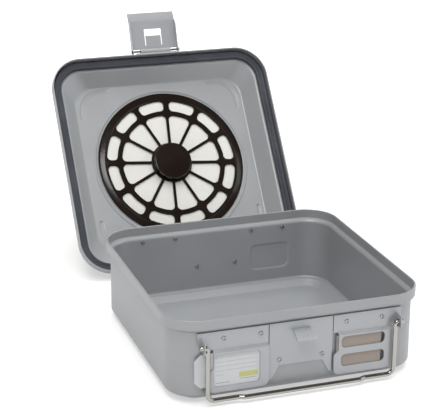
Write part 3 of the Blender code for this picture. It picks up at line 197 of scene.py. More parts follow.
class RetainerSizes(bpy.types.PropertyGroup):
    radius: length("Radius", "Outer radius of the retainer", 0.0950)
    sheet: length("Sheet", "Thickness of the grille", 0.0012)
    rise: length("Rise", "Height of the grille over the panel", 0.0012)
    gap: length("Gap", "Clearance between pieces that rest on each other", 0.0003)
    ridge_radius: length("Ridge radius", "Radius of the thin raised ring", 0.0860)
    ridge_height: length("Ridge height", "Height of the thin raised ring", 0.0005)
    lip_width: length("Lip width", "Width of the rolled outer lip", 0.0030)
    grille_lap: length("Grille lap", "How far the grille ends inside the ridge", 0.0007)
    rim_lap: length("Rim lap", "How far the rim reaches in over the grille", 0.0020)
    rim_lift: length("Rim lift", "How far the rim's lap stays under the grille's face", 0.00002)
    ridge_half: length("Ridge half width", "Half width of the ridge's top", 0.0006)
    ridge_foot_in: length("Ridge inner foot", "Inner foot of the ridge from its middle", 0.0012)
    ridge_foot_out: length("Ridge outer foot", "Outer foot of the ridge from its middle", 0.0010)
    lip_run: length("Lip run", "Flat of the lip on the panel", 0.0026)
    lip_crease: length("Lip crease", "How far the lip's upper crease stands out", 0.0006)
    slot_outer: length("Slot outer radius", "Far end of the outer windows", 0.0836)
    slot_inner: length("Slot inner radius", "Near end of the outer windows", 0.0703)
    slot_round: length("Slot corner", "Corner radius of the outer windows", 0.0050)
    wedge_outer: length("Wedge outer radius", "Far end of the inner windows", 0.0640)
    wedge_inner: length("Wedge inner radius", "Near end of the inner windows", 0.0265)
    wedge_round: length("Wedge corner", "Outer corner radius of the inner windows", 0.0055)
    wedge_root: length("Wedge root", "Inner corner radius of the inner windows", 0.0012)
    spoke_width: length("Spoke width", "Width of a spoke between inner windows", 0.0038)
    bar_width: length("Bar width", "Width of the metal between outer windows", 0.0076)
    spokes: count("Spokes", "Number of spokes", 12)
    turn: FloatProperty(name="Turn", description="Angle of the first spoke", default=math.radians(-5.0),
                        subtype="ANGLE")
    edge: length("Edge rounding", "Rounding of the windows' edges", 0.0003)
    filter_radius: length("Filter radius", "Radius of the paper filter", 0.0905)
    filter_sheet: length("Filter sheet", "Thickness of the paper filter", 0.0006)
    bore: length("Bore", "Radius of the hole on the stud", 0.0033)
    boss_radius: length("Boss radius", "Radius of the grille's boss", 0.0060)
    boss_height: length("Boss height", "Height of the grille's boss", 0.0036)
    boss_lap: length("Boss lap", "How far the boss sinks into the grille", 0.0002)
    centre_hole: length("Centre hole", "Radius at which the button's profile starts", 0.0004)
    stud_centre: length("Stud centre", "Radius at which the stud's profile starts", 0.0003)
    button_radius: length("Button radius", "Radius of the release button", 0.0240)
    button_height: length("Button height", "Height of the release button", 0.0064)
    button_dome: length("Button dome", "Crown of the release button", 0.0014)
    button_edge: length("Button edge", "Rounding of the button's rim", 0.0016)
    button_wall: length("Button wall", "Wall of the release button", 0.0018)
    button_travel: length("Button travel", "How far the button presses in", 0.0030)
    stud_radius: length("Stud radius", "Radius of the locking stud", 0.0030)
    stud_tip_drop: length("Stud tip drop", "How far the stud's tip stays below the grille's face", 0.0002)
    stud_head: length("Stud head radius", "Radius of the stud's head outside", 0.0080)
    stud_head_height: length("Stud head height", "Height of the stud's head outside", 0.0020)


class FittingSizes(bpy.types.PropertyGroup):
    wall_out: length("Wall place", "Front wall's outer face from the middle", 0.13275)
    plate_sheet: length("Plate sheet", "Thickness of the riveted plates", 0.0012)
    gap: length("Gap", "Clearance under the plates", 0.0003)
    edge: length("Edge rounding", "Rounding of the plates' cut edges", 0.00028)
    rivet_head: length("Rivet head", "Radius of a rivet's head", 0.0025)
    rivet_shank: length("Rivet shank", "Radius of a rivet's shank", 0.0014)
    rivet_height: length("Rivet height", "Height of a rivet's crowned head", 0.0009)
    rivet_dimple: length("Rivet dimple", "Radius of the hollow in a rivet's head", 0.0013)
    latch_rivet_drop: length("Latch rivet drop", "Latch rivets below the skirt's edge", 0.0060)
    latch_rivet_height: length("Latch rivet height", "Height of a latch rivet's inner head", 0.0003)
    end_chamfer: length("End chamfer", "Chamfer of the wire's cut ends", 0.0005)
    wire_radius: length("Wire radius", "Radius of the handle's wire", 0.0025)
    leg_x: length("Leg place", "Handle leg from the middle", 0.1020)
    handle_out: length("Handle distance", "Wire's centre from the wall", 0.0080)
    pivot_z: length("Pivot height", "Height of the handle's pivots", 0.0653)
    bar_z: length("Bar height", "Height of the hanging bar", 0.0065)
    corner_radius: length("Corner radius", "Bend between leg and bar", 0.0075)
    end_radius: length("End radius", "Bend at the wire's end", 0.0032)
    end_length: length("End length", "Length of the wire's turned end", 0.0085)
    jog_x: length("Jog place", "Where the bar steps out from the wall", 0.0630)
    jog_run: length("Jog run", "Length of the bar's step", 0.0060)
    jog_out: length("Jog depth", "How far the bar steps out", 0.0025)
    jog_radius: length("Jog bend", "Bend of the bar's step", 0.0060)


class Finishes(bpy.types.PropertyGroup):
    shell: colour("Anodised shell", "Colour of the drawn base and lid", (0.345, 0.357, 0.371))
    fitting: colour("Fitting sheet", "Colour of the riveted plates and latches", (0.395, 0.410, 0.430))
    steel: colour("Polished steel", "Colour of the wire handles and pins", (0.370, 0.360, 0.340))
    rivet: colour("Rivet", "Colour of the rivet heads", (0.360, 0.360, 0.365))
    gasket: colour("Gasket", "Colour of the silicone gasket", (0.032, 0.036, 0.047))
    retainer: colour("Retainer", "Colour of the retainer and its button", (0.0070, 0.0040, 0.0026))
    paper: colour("Filter paper", "Colour of the filter", (0.560, 0.560, 0.535))
    label: colour("Label card", "Colour of the label's paper", (0.640, 0.655, 0.675))
    label_ink: colour("Label ruling", "Colour of the label's ruled lines", (0.240, 0.250, 0.270))
    label_bar: colour("Label bar", "Colour of the label's bar", (0.560, 0.560, 0.200))
    indicator: colour("Indicator card", "Colour of the indicator card", (0.345, 0.300, 0.265))
    skin: share("Anodised skin", "How metallic the anodised sheet is", 0.35)
    shell_roughness: share("Shell roughness", "Roughness of the satin sheet", 0.42)
    fitting_roughness: share("Fitting roughness", "Roughness of the riveted plates", 0.34)
    steel_roughness: share("Steel roughness", "Roughness of the polished wire", 0.10)
    retainer_roughness: share("Retainer roughness", "Roughness of the retainer", 0.14)


class StageSettings(bpy.types.PropertyGroup):
    lens: FloatProperty(name="Lens", description="Focal length on a 36 mm frame", default=119.262,
                        subtype="DISTANCE_CAMERA")
    camera_place: spot("Camera place", "Where the camera stands", (-0.5201, -1.3660, 0.6750))
    floor_size: length("Floor size", "Half the side of the floor", 6.0)
    floor_colour: colour("Floor colour", "Colour of the floor", (0.55, 0.55, 0.55))
    floor_lift: share("Floor lift", "Brightness added to the floor as it is seen, near the container", 0.50)
    far_lift: share("Far floor lift", "Brightness added to the floor as it is seen, far away", 0.95)
    far_start: length("Far floor start", "Where the far floor's brightness starts to rise", 0.55)
    far_end: length("Far floor end", "Where the far floor's brightness is full", 1.60)
    walls: share("Walls", "Brightness of the studio's walls", 0.60)
    horizon: share("Horizon", "Height up to which the studio's walls are pale", 0.16)
    ceiling_start: share("Ceiling start", "Height from which the studio's ceiling is dark", 0.52)
    ceiling: colour("Ceiling", "Colour of the studio's ceiling", (0.150, 0.130, 0.115))
    key: power("Key", "Power of the main lamp", 28.0)
    key_place: spot("Key place", "Where the main lamp stands", (-0.9, -1.3, 2.2))
    key_aim: spot("Key aim", "Where the main lamp points", (0.0, 0.05, 0.05))
    key_width: length("Key width", "Side of the main lamp", 1.2)
    side: power("Side", "Power of the side lamp", 6.0)
    side_place: spot("Side place", "Where the side lamp stands", (1.8, -0.5, 1.0))
    side_aim: spot("Side aim", "Where the side lamp points", (0.0, 0.1, 0.1))
    side_width: length("Side width", "Side of the side lamp", 1.2)
    top: power("Top", "Power of the top lamp", 125.0)
    top_place: spot("Top place", "Where the top lamp hangs", (0.3, 0.1, 3.0))
    top_aim: spot("Top aim", "Where the top lamp points", (0.0, 0.1, 0.0))
    top_width: length("Top width", "Side of the top lamp", 3.0)



SETTINGS = {"container_base": BaseSizes, "container_lid": LidSizes, "container_retainer": RetainerSizes,
            "container_fittings": FittingSizes, "container_finishes": Finishes,
            "container_stage": StageSettings}


# Profiles and paths

def unit_rows(vectors):
    """Each row divided by its own length."""
    return vectors / np.linalg.norm(vectors, axis=-1, keepdims=True)


def rounded_path(points, radii, steps=8):
    """A path of straight lines whose corners are arcs.

    At a corner p with unit directions a and b to its neighbours and the angle t between them, the arc's
    centre is p + r / sin(t / 2) along a + b. Its points are that centre plus the turn from the first
    tangent point to the second, in equal steps of angle.
    """
    points = [np.asarray(point, float) for point in points]
    path = [points[0][None]]
    for before, here, after, radius in zip(points, points[1:], points[2:], radii):
        to_before, to_after = unit_rows(before - here), unit_rows(after - here)
        angle = math.acos(float(np.clip(to_before @ to_after, -1, 1)))
        centre = here + unit_rows(to_before + to_after) * radius / math.sin(angle / 2)
        reach = radius / math.tan(angle / 2)
        start, end = here + to_before * reach - centre, here + to_after * reach - centre
        turn = math.pi - angle
        along = np.linspace(0, 1, steps + 1)[:, None]
        arc = centre + (np.sin((1 - along) * turn) * start + np.sin(along * turn) * end) / math.sin(turn)
        path.append(arc)
    path.append(points[-1][None])
    return np.concatenate(path)


def divided(path, step):
    """The path with points added at equal distances on every line longer than the step."""
    pieces = []
    for start, end in zip(path, path[1:]):
        parts = max(int(math.ceil(np.linalg.norm(end - start) / step)), 1)
        pieces.append(start + (end - start) * np.linspace(0, 1, parts, endpoint=False)[:, None])
    return np.concatenate(pieces + [path[-1:]])


def beside(path, distance):
    """The path moved to its left by the distance: p + d n, n square to the line through its neighbours."""
    ahead = np.concatenate([path[1:] - path[:-1], path[-1:] - path[-2:-1]])
    behind = np.concatenate([path[1:2] - path[:1], path[1:] - path[:-1]])
    along = unit_rows(unit_rows(ahead) + unit_rows(behind))
    return path + distance * np.stack([-along[:, 1], along[:, 0]], axis=1)


def half_round(outer_edge, inner_edge, rise, radius, steps=4):
    """The rounded cut edge of a sheet, from its outer face over its top to its inner face."""
    angles = np.linspace(0, math.pi / 2, steps + 1)
    side = np.stack([radius - radius * np.cos(angles), radius * np.sin(angles) - radius], axis=1)
    outer = np.array([outer_edge, rise]) + side
    inner = np.array([inner_edge, rise]) + side[::-1] * (-1, 1)
    return np.concatenate([outer, inner])


def smooth_step(value):
    """0 below 0, 1 above 1 and 3 v^2 - 2 v^3 between."""
    value = np.clip(value, 0, 1)
    return value * value * (3 - 2 * value)


def straight_stations(half, edges, coarse, fine, reach):
    """Places along a straight from -half to half, closer together near the given edges."""
    sets = [np.linspace(-half, half, max(int(round(2 * half / coarse)), 2) + 1)]
    for edge in edges:
        sets.append(np.arange(edge - reach, edge + reach + fine / 2, fine))
    places = np.concatenate(sets)
    places = np.unique(np.round(places[np.abs(places) <= half + fine / 10], 6))
    keep = np.concatenate([[True], np.diff(places) > fine / 3])
    places = places[keep]
    places[0], places[-1] = -half, half
    return places / half


def ring_columns(corner_steps, across, along):
    """Columns round a rounded rectangle, counter-clockwise from the right end of the rear right corner.

    Each column holds the signs that move a corner's centre outwards and the cosine and sine of its turn.
    across and along hold the places on the straights, from -1 to 1.
    """
    quarter = np.linspace(0, math.pi / 2, corner_steps + 1)
    signs = [(1, 1), (-1, 1), (-1, -1), (1, -1)]
    straights = [across[::-1], along[::-1], across, along]
    columns = []
    for k, (sign_x, sign_y) in enumerate(signs):
        turn = quarter + k * math.pi / 2
        ones = np.ones_like(turn)
        columns.append(np.stack([sign_x * ones, sign_y * ones, np.cos(turn), np.sin(turn)]))
        inner = straights[k][1:-1]
        ones = np.ones_like(inner)
        end_c, end_s = round(math.cos(turn[-1])), round(math.sin(turn[-1]))
        moving = [inner, sign_y * ones] if k % 2 == 0 else [sign_x * ones, inner]
        columns.append(np.stack(moving + [end_c * ones, end_s * ones]))
    return np.concatenate(columns, axis=1)


def ring_points(columns, half_x, half_y, insets, radii, levels):
    """Rows of a rounded rectangle: x = Sx (hx - inset - r) + C r, y = Sy (hy - inset - r) + S r."""
    sign_x, sign_y, cosine, sine = columns[:, None, :]
    insets, radii = np.asarray(insets)[:, None], np.asarray(radii)[:, None]
    x = sign_x * (half_x - insets - radii) + cosine * radii
    y = sign_y * (half_y - insets - radii) + sine * radii
    z = np.broadcast_to(np.asarray(levels, float)[:, None], x.shape)
    return np.stack([x, y, z], axis=-1)


def turned_points(profile, steps):
    """Rows of a turned shape: x = r cos a, y = r sin a, z as in the profile."""
    angles = np.linspace(0, 2 * math.pi, steps, endpoint=False)
    profile = np.asarray(profile, float)
    radius, level = profile[:, :1], profile[:, 1:]
    return np.stack([radius * np.cos(angles), radius * np.sin(angles), level + 0 * angles], axis=-1)


def tube_points(path, radius, steps=20):
    """Rows of a round wire: p + r (cos a N + sin a B), with B = T x N and N the Y axis made square to T."""
    along = unit_rows(np.gradient(path, axis=0))
    side = np.array([0.0, 1.0, 0.0]) - along * along[:, 1:2]
    side = unit_rows(side)
    other = np.cross(along, side)
    angles = np.linspace(0, 2 * math.pi, steps, endpoint=False)[None, :, None]
    return path[:, None] + radius * (np.cos(angles) * side[:, None] + np.sin(angles) * other[:, None])


# Meshes

def grid_faces(shape, first, close_rows):
    """Quads of a grid whose columns close on themselves."""
    index = first + np.arange(shape[0] * shape[1]).reshape(shape[:2])
    low = index if close_rows else index[:-1]
    high = np.roll(index, -1, axis=0) if close_rows else index[1:]
    quads = np.stack([low, np.roll(low, -1, axis=1), np.roll(high, -1, axis=1), high], axis=-1)
    return quads.reshape(-1, 4).tolist(), index


def grid_solids(grids):
    """Vertices and faces of one or more grids, each closed by caps at its first and last row or as a loop."""
    verts, faces, first = [], [], 0
    for points, close_rows, caps in grids:
        quads, index = grid_faces(points.shape, first, close_rows)
        faces += quads
        if caps:
            faces += [index[0][::-1].tolist(), index[-1].tolist()]
        verts.append(points.reshape(-1, 3))
        first += points.shape[0] * points.shape[1]
    return np.concatenate(verts), faces


def placed(points, matrix):
    """The points carried into the container's frame by a matrix."""
    matrix = np.array(matrix)
    return points @ matrix[:3, :3].T + matrix[:3, 3]


def finish_piece(mesh, name, body, material, sharp, replaced):
    """An object at the origin, smooth up to the sharp angle, riding on its body."""
    mesh.polygons.foreach_set("use_smooth", np.ones(len(mesh.polygons), bool))
    mesh.set_sharp_from_angle(angle=math.radians(sharp))
    mesh.materials.clear()
    mesh.materials.append(material)
    piece = bpy.data.objects.new(name, mesh)
    bpy.context.scene.collection.objects.link(piece)
    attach(piece, body)
    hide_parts(*replaced)
    return piece


def make_piece(name, grids, body, look, sharp, node):
    """A piece of one or more closed grids in a named finish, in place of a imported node."""
    verts, faces = grid_solids(grids)
    mesh = bpy.data.meshes.new(name)
    mesh.from_pydata(verts.tolist(), [], faces)
    mesh.validate()
    return finish_piece(mesh, name, body, finish(look), sharp, (node,))


def filled_mesh(name, outlines, low, high, edge=0.0, edge_steps=1):
    """A flat plate with holes between two levels, its cut edges rounded by the edge size."""
    curve = bpy.data.curves.new(name, "CURVE")
    curve.dimensions = "2D"
    curve.fill_mode = "BOTH"
    curve.extrude = (high - low) / 2 - edge
    curve.bevel_depth = edge
    curve.bevel_resolution = edge_steps
    curve.offset = -edge
    for outline in outlines:
        spline = curve.splines.new("POLY")
        spline.points.add(len(outline) - 1)
        flat = np.zeros((len(outline), 4))
        flat[:, :2], flat[:, 3] = outline, 1
        spline.points.foreach_set("co", flat.ravel())
        spline.use_cyclic_u = True
    holder = bpy.data.objects.new(name, curve)
    bpy.context.scene.collection.objects.link(holder)
    bpy.context.view_layer.update()
    mesh = bpy.data.meshes.new_from_object(holder.evaluated_get(bpy.context.evaluated_depsgraph_get()))
    bpy.data.objects.remove(holder)
    bpy.data.curves.remove(curve)
    mesh.name = name
    shell = bmesh.new()
    shell.from_mesh(mesh)
    bmesh.ops.remove_doubles(shell, verts=shell.verts, dist=PLATE_MERGE)
    bmesh.ops.translate(shell, verts=shell.verts, vec=(0, 0, (low + high) / 2))
    bmesh.ops.recalc_face_normals(shell, faces=shell.faces)
    shell.to_mesh(mesh)
    shell.free()
    return mesh


def circle(radius, steps, centre=(0.0, 0.0)):
    """Points on a circle: the centre plus r (cos a, sin a)."""
    angles = np.linspace(0, 2 * math.pi, steps, endpoint=False)
    return np.asarray(centre) + radius * np.stack([np.cos(angles), np.sin(angles)], axis=1)


def softened_copy(node, body, material, edge, sharp=28.0):
    """A CAD node's shape with its doubles merged and its cut edges rounded."""
    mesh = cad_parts[node].data.copy()
    name = node + "_soft"
    mesh.name = name
    shell = bmesh.new()
    shell.from_mesh(mesh)
    bmesh.ops.remove_doubles(shell, verts=shell.verts, dist=COPY_MERGE)
    bmesh.ops.dissolve_limit(shell, angle_limit=math.radians(1.0), verts=shell.verts, edges=shell.edges)
    shell.to_mesh(mesh)
    shell.free()
    piece = finish_piece(mesh, name, body, material, sharp, (node,))
    bevel = piece.modifiers.new("Cut edges", "BEVEL")
    bevel.width = edge
    bevel.segments = 2
    bevel.limit_method = "ANGLE"
    bevel.angle_limit = math.radians(sharp)
    bevel.harden_normals = True
    return piece


# Materials

def add_node(tree, kind, place, **values):
    node = tree.nodes.new(kind)
    node.location = place
    for name, value in values.items():
        setattr(node, name, value)
    return node


def feed(tree, target, source):
    """Links a socket to an input, or writes a plain value on it."""
    if isinstance(source, bpy.types.NodeSocket):
        tree.links.new(source, target)
    else:
        target.default_value = source


def math_node(tree, place, operation, *sources, clamp=False):
    node = add_node(tree, "ShaderNodeMath", place, operation=operation, use_clamp=clamp)
    for target, source in zip(node.inputs, sources):
        feed(tree, target, source)
    return node.outputs[0]


def noise(tree, place, source, scale, detail=None, roughness=None):
    """The value of a noise texture on the source's coordinates."""
    node = add_node(tree, "ShaderNodeTexNoise", place)
    tree.links.new(source, node.inputs["Vector"])
    feed(tree, node.inputs["Scale"], scale)
    for label, value in (("Detail", detail), ("Roughness", roughness)):
        if value is not None:
            node.inputs[label].default_value = value
    return node.outputs["Fac"]


def new_group(name, inputs, outputs):
    """A shader node group with float, colour or vector sockets, and its two end nodes."""
    kinds = {"float": "NodeSocketFloat", "colour": "NodeSocketColor", "vector": "NodeSocketVector"}
    tree = bpy.data.node_groups.new(name, "ShaderNodeTree")
    for label, kind, value in inputs:
        socket = tree.interface.new_socket(name=label, in_out="INPUT", socket_type=kinds[kind])
        if value is not None:
            socket.default_value = value
    for label, kind in outputs:
        tree.interface.new_socket(name=label, in_out="OUTPUT", socket_type=kinds[kind])
    return tree, add_node(tree, "NodeGroupInput", (-900, 0)), add_node(tree, "NodeGroupOutput", (900, 0))


def satin_grain_group():
    """Fine blasted grain and faint handling marks of satin sheet: shade, roughness and height."""
    tree, start, end = new_group(
        "Satin grain", [("Vector", "vector", None), ("Grain scale", "float", 1500.0),
                        ("Smudge scale", "float", 14.0), ("Smudge", "float", 0.5),
                        ("Roughness", "float", 0.3)],
        [("Shade", "float"), ("Roughness", "float"), ("Height", "float")])
    place = start.outputs["Vector"]
    stretch = add_node(tree, "ShaderNodeMapping", (-650, -400))
    stretch.inputs["Scale"].default_value = (0.06, 0.5, 1.0)
    tree.links.new(place, stretch.inputs["Vector"])
    grain = noise(tree, (-650, 200), place, start.outputs["Grain scale"], 2.0)
    smudge = noise(tree, (-650, -100), place, start.outputs["Smudge scale"], 4.0, 0.6)
    scratch = noise(tree, (-450, -400), stretch.outputs["Vector"], 900.0, 3.0)
    centred = math_node(tree, (-350, -100), "SUBTRACT", smudge, 0.5)
    marked = math_node(tree, (-150, -100), "MULTIPLY", centred, start.outputs["Smudge"])
    shade = math_node(tree, (100, 100), "MULTIPLY_ADD", marked, 0.35, 1.0)
    rough_change = math_node(tree, (100, -150), "MULTIPLY_ADD", marked, 0.30, start.outputs["Roughness"])
    fine = math_node(tree, (100, -350), "MULTIPLY", scratch, 0.35)
    height = math_node(tree, (350, -300), "ADD", grain, fine)
    tree.links.new(shade, end.inputs["Shade"])
    tree.links.new(math_node(tree, (350, -100), "MAXIMUM", rough_change, 0.02), end.inputs["Roughness"])
    tree.links.new(height, end.inputs["Height"])
    return tree


def band_group():
    """1 between a low and a high limit and 0 outside, with a soft step at each."""
    tree, start, end = new_group(
        "Band", [("Value", "float", 0.0), ("Low", "float", 0.0), ("High", "float", 1.0),
                 ("Softness", "float", 0.0001)], [("Mask", "float")])
    up = math_node(tree, (-500, 100), "SUBTRACT", start.outputs["Value"], start.outputs["Low"])
    down = math_node(tree, (-500, -100), "SUBTRACT", start.outputs["High"], start.outputs["Value"])
    up = math_node(tree, (-250, 100), "DIVIDE", up, start.outputs["Softness"], clamp=True)
    down = math_node(tree, (-250, -100), "DIVIDE", down, start.outputs["Softness"], clamp=True)
    tree.links.new(math_node(tree, (100, 0), "MINIMUM", up, down), end.inputs["Mask"])
    return tree


def dust_group():
    """Specks and a thin uneven film, as a mask."""
    tree, start, end = new_group(
        "Dust", [("Vector", "vector", None), ("Scale", "float", 300.0), ("Amount", "float", 0.3)],
        [("Mask", "float")])
    specks = add_node(tree, "ShaderNodeTexVoronoi", (-650, 100))
    tree.links.new(start.outputs["Vector"], specks.inputs["Vector"])
    tree.links.new(start.outputs["Scale"], specks.inputs["Scale"])
    film = noise(tree, (-650, -200), start.outputs["Vector"], 22.0, 5.0)
    near = math_node(tree, (-400, 100), "LESS_THAN", specks.outputs["Distance"], 0.10)
    thin = math_node(tree, (-400, -200), "SUBTRACT", film, 0.45)
    thin = math_node(tree, (-200, -200), "MULTIPLY", thin, 1.6, clamp=True)
    both = math_node(tree, (0, 0), "MULTIPLY_ADD", near, 0.5, thin)
    tree.links.new(math_node(tree, (250, 0), "MULTIPLY", both, start.outputs["Amount"], clamp=True),
                   end.inputs["Mask"])
    return tree


GROUP_MAKERS = {"Satin grain": satin_grain_group, "Band": band_group, "Dust": dust_group}


def group_node(tree, name, place, **inputs):
    """One of the shared effects, placed with its own values. Its names' underscores stand for spaces."""
    node = add_node(tree, "ShaderNodeGroup", place)
    node.node_tree = bpy.data.node_groups.get(name) or GROUP_MAKERS[name]()
    for label, source in inputs.items():
        feed(tree, node.inputs[label.replace("_", " ")], source)
    return node


def new_material(name):
    """An empty material with its shader, its output and the object's coordinates."""
    material = bpy.data.materials.new(name)
    material.use_nodes = True
    tree = material.node_tree
    shader = tree.nodes["Principled BSDF"]
    shader.location = (600, 0)
    tree.nodes["Material Output"].location = (950, 0)
    place = add_node(tree, "ShaderNodeTexCoord", (-1200, 0)).outputs["Object"]
    return material, tree, shader, place


def tinted(tree, place, base, factor):
    """A colour made lighter or darker by a factor that varies over the surface."""
    node = add_node(tree, "ShaderNodeMix", place, data_type="RGBA", blend_type="MULTIPLY")
    node.inputs["Factor"].default_value = 1.0
    node.inputs[6].default_value = (*base, 1.0)
    tree.links.new(factor, node.inputs[7])
    return node.outputs[2]


def mixed(tree, place, factor, first, second):
    """Two colours or colour sockets mixed by a factor."""
    node = add_node(tree, "ShaderNodeMix", place, data_type="RGBA")
    feed(tree, node.inputs["Factor"], factor)
    for target, source in ((node.inputs[6], first), (node.inputs[7], second)):
        feed(tree, target, source if isinstance(source, bpy.types.NodeSocket) else (*source, 1.0))
    return node.outputs[2]


def bump(tree, shader, place, height, distance, strength=1.0):
    node = add_node(tree, "ShaderNodeBump", place)
    node.inputs["Distance"].default_value = distance
    node.inputs["Strength"].default_value = strength
    tree.links.new(height, node.inputs["Height"])
    tree.links.new(node.outputs["Normal"], shader.inputs["Normal"])


def surface(tree, shader, colour, pattern, rough_change, roughness, height, depth):
    """Feeds the shader its colour, a roughness that follows the pattern and a height."""
    tree.links.new(colour, shader.inputs["Base Color"])
    rough = math_node(tree, (-100, -100), "MULTIPLY_ADD", pattern, rough_change, roughness)
    tree.links.new(rough, shader.inputs["Roughness"])
    bump(tree, shader, (200, -300), height, depth)


def satin_metal(name, base, roughness, metallic=1.0, grain=1500.0, smudge=0.5, depth=0.00002):
    """Satin aluminium or steel with fine grain and faint marks. An anodised skin is partly metallic."""
    material, tree, shader, place = new_material(name)
    satin = group_node(tree, "Satin grain", (-800, 0), Vector=place, Grain_scale=grain, Smudge=smudge,
                       Roughness=roughness)
    shader.inputs["Metallic"].default_value = metallic
    tree.links.new(tinted(tree, (-100, 200), base, satin.outputs["Shade"]), shader.inputs["Base Color"])
    tree.links.new(satin.outputs["Roughness"], shader.inputs["Roughness"])
    bump(tree, shader, (200, -300), satin.outputs["Height"], depth)
    return material


def gloss_moulding(name, base, roughness):
    """Glossy dark moulding with a faint ripple and a little dust."""
    material, tree, shader, place = new_material(name)
    dust = group_node(tree, "Dust", (-800, 100), Vector=place, Scale=420.0, Amount=0.05).outputs["Mask"]
    ripple = noise(tree, (-800, -300), place, 160.0, 2.0)
    shader.inputs["IOR"].default_value = 1.52
    colour = mixed(tree, (-100, 200), dust, base, (0.20, 0.18, 0.16))
    surface(tree, shader, colour, dust, 0.8, roughness, ripple, 0.00006)
    return material


def moulded_rubber(name, base):
    """Matt silicone with a fine skin and a bloom of dust."""
    material, tree, shader, place = new_material(name)
    dust = group_node(tree, "Dust", (-800, 100), Vector=place, Scale=260.0, Amount=0.35).outputs["Mask"]
    skin = noise(tree, (-800, -300), place, 900.0)
    colour = mixed(tree, (-100, 200), dust, base, (0.17, 0.17, 0.18))
    surface(tree, shader, colour, dust, 0.25, 0.48, skin, 0.00004)
    return material


def fibre_paper(name, base):
    """Filter paper: short fibres in the colour and the surface."""
    material, tree, shader, place = new_material(name)
    fibre = noise(tree, (-800, 100), place, 420.0, 6.0, 0.75)
    cloud = noise(tree, (-800, -200), place, 45.0)
    shade = math_node(tree, (-500, 100), "MULTIPLY_ADD", fibre, 0.16, 0.92)
    shade = math_node(tree, (-300, 0), "MULTIPLY_ADD", cloud, 0.10, shade)
    surface(tree, shader, tinted(tree, (-100, 200), base, shade), fibre, 0.1, 0.82, fibre, 0.00012)
    return material


def printed_label(name, finishes):
    """Label card with plain ruled lines, a column rule, a coloured bar and a dark line under it."""
    material, tree, shader, place = new_material(name)
    split = add_node(tree, "ShaderNodeSeparateXYZ", (-1000, 0))
    tree.links.new(place, split.inputs[0])
    across, up = split.outputs["X"], split.outputs["Z"]

    def field(area, level):
        """1 inside an area of the card and 0 outside it."""
        masks = [group_node(tree, "Band", (-500, level - step), Value=value, Low=low, High=high,
                            Softness=LABEL_EDGE_SOFTNESS).outputs["Mask"]
                 for value, (low, high), step in zip((across, up), area, (0, 150))]
        return math_node(tree, (-250, level - 50), "MULTIPLY", *masks)

    row = math_node(tree, (-650, 300), "FRACT", math_node(tree, (-800, 300), "DIVIDE", up, LABEL_PITCH))
    low, high = LABEL_RULE_SHARES
    rule = group_node(tree, "Band", (-500, 300), Value=row, Low=low, High=high, Softness=LABEL_RULE_SOFTNESS)
    short, long = field(LABEL_SHORT_LINES, 150), field(LABEL_LONG_LINES, -150)
    lines = math_node(tree, (-100, 150), "MAXIMUM", short, long)
    lines = math_node(tree, (0, 200), "MULTIPLY", lines, rule.outputs["Mask"])
    lines = math_node(tree, (50, 100), "MULTIPLY", lines, LABEL_LINE_DEPTH)
    bar = field(LABEL_BAR, -450)
    dark = math_node(tree, (-50, -700), "MAXIMUM", field(LABEL_BAR_LINE, -750), field(LABEL_FOOT_LINE, -1050))
    grain = noise(tree, (-500, 500), place, 260.0)
    shade = math_node(tree, (-250, 500), "MULTIPLY_ADD", grain, 0.06, 0.97)
    paper = tinted(tree, (0, 400), finishes.label, shade)
    ink = tuple(finishes.label_ink)
    result = mixed(tree, (150, 300), lines, paper, ink)
    result = mixed(tree, (280, 200), bar, result, tuple(finishes.label_bar))
    result = mixed(tree, (400, 100), dark, result, ink)
    surface(tree, shader, result, grain, 0.1, 0.42, grain, 0.00003)
    return material


def process_card(name, base):
    """Indicator card: plain board with a faint mottle."""
    material, tree, shader, place = new_material(name)
    mottle = noise(tree, (-800, 100), place, 90.0, 5.0)
    shade = math_node(tree, (-400, 100), "MULTIPLY_ADD", mottle, 0.18, 0.91)
    surface(tree, shader, tinted(tree, (-100, 200), base, shade), mottle, 0.15, 0.45, mottle, 0.00005)
    return material


def finish(name):
    """One of the container's finishes, made the first time that it is asked for."""
    tones = bpy.context.scene.container_finishes
    makers = {
        "satin shell": (satin_metal, tones.shell, tones.shell_roughness, tones.skin),
        "satin fitting": (satin_metal, tones.fitting, tones.fitting_roughness, tones.skin, 1900.0, 0.6,
                          0.000015),
        "polished wire": (satin_metal, tones.steel, tones.steel_roughness, 1.0, 700.0, 0.25, 0.000004),
        "rivet metal": (satin_metal, tones.rivet, 0.28, 1.0, 1200.0, 0.8, 0.00001),
        "gasket silicone": (moulded_rubber, tones.gasket),
        "retainer gloss": (gloss_moulding, tones.retainer, tones.retainer_roughness),
        "filter fibre": (fibre_paper, tones.paper),
        "label print": (printed_label, tones),
        "indicator board": (process_card, tones.indicator),
    }
    if name not in makers:
        raise ValueError("no finish is called " + name)
    maker, *values = makers[name]
    return bpy.data.materials.get(name) or maker(name, *values)


def lid_matrix(sizes):
    """From the lid's frame, its inside towards +Z, to the container's."""
    middle = (sizes.place_x, sizes.place_y, sizes.place_z)
    rows = [(1, 0, 0), STANDING_BACK, LID_OUTWARD]
    matrix = np.eye(4)
    matrix[:3, :3] = np.array(rows).T
    matrix[:3, 3] = middle
    return matrix


# Pieces

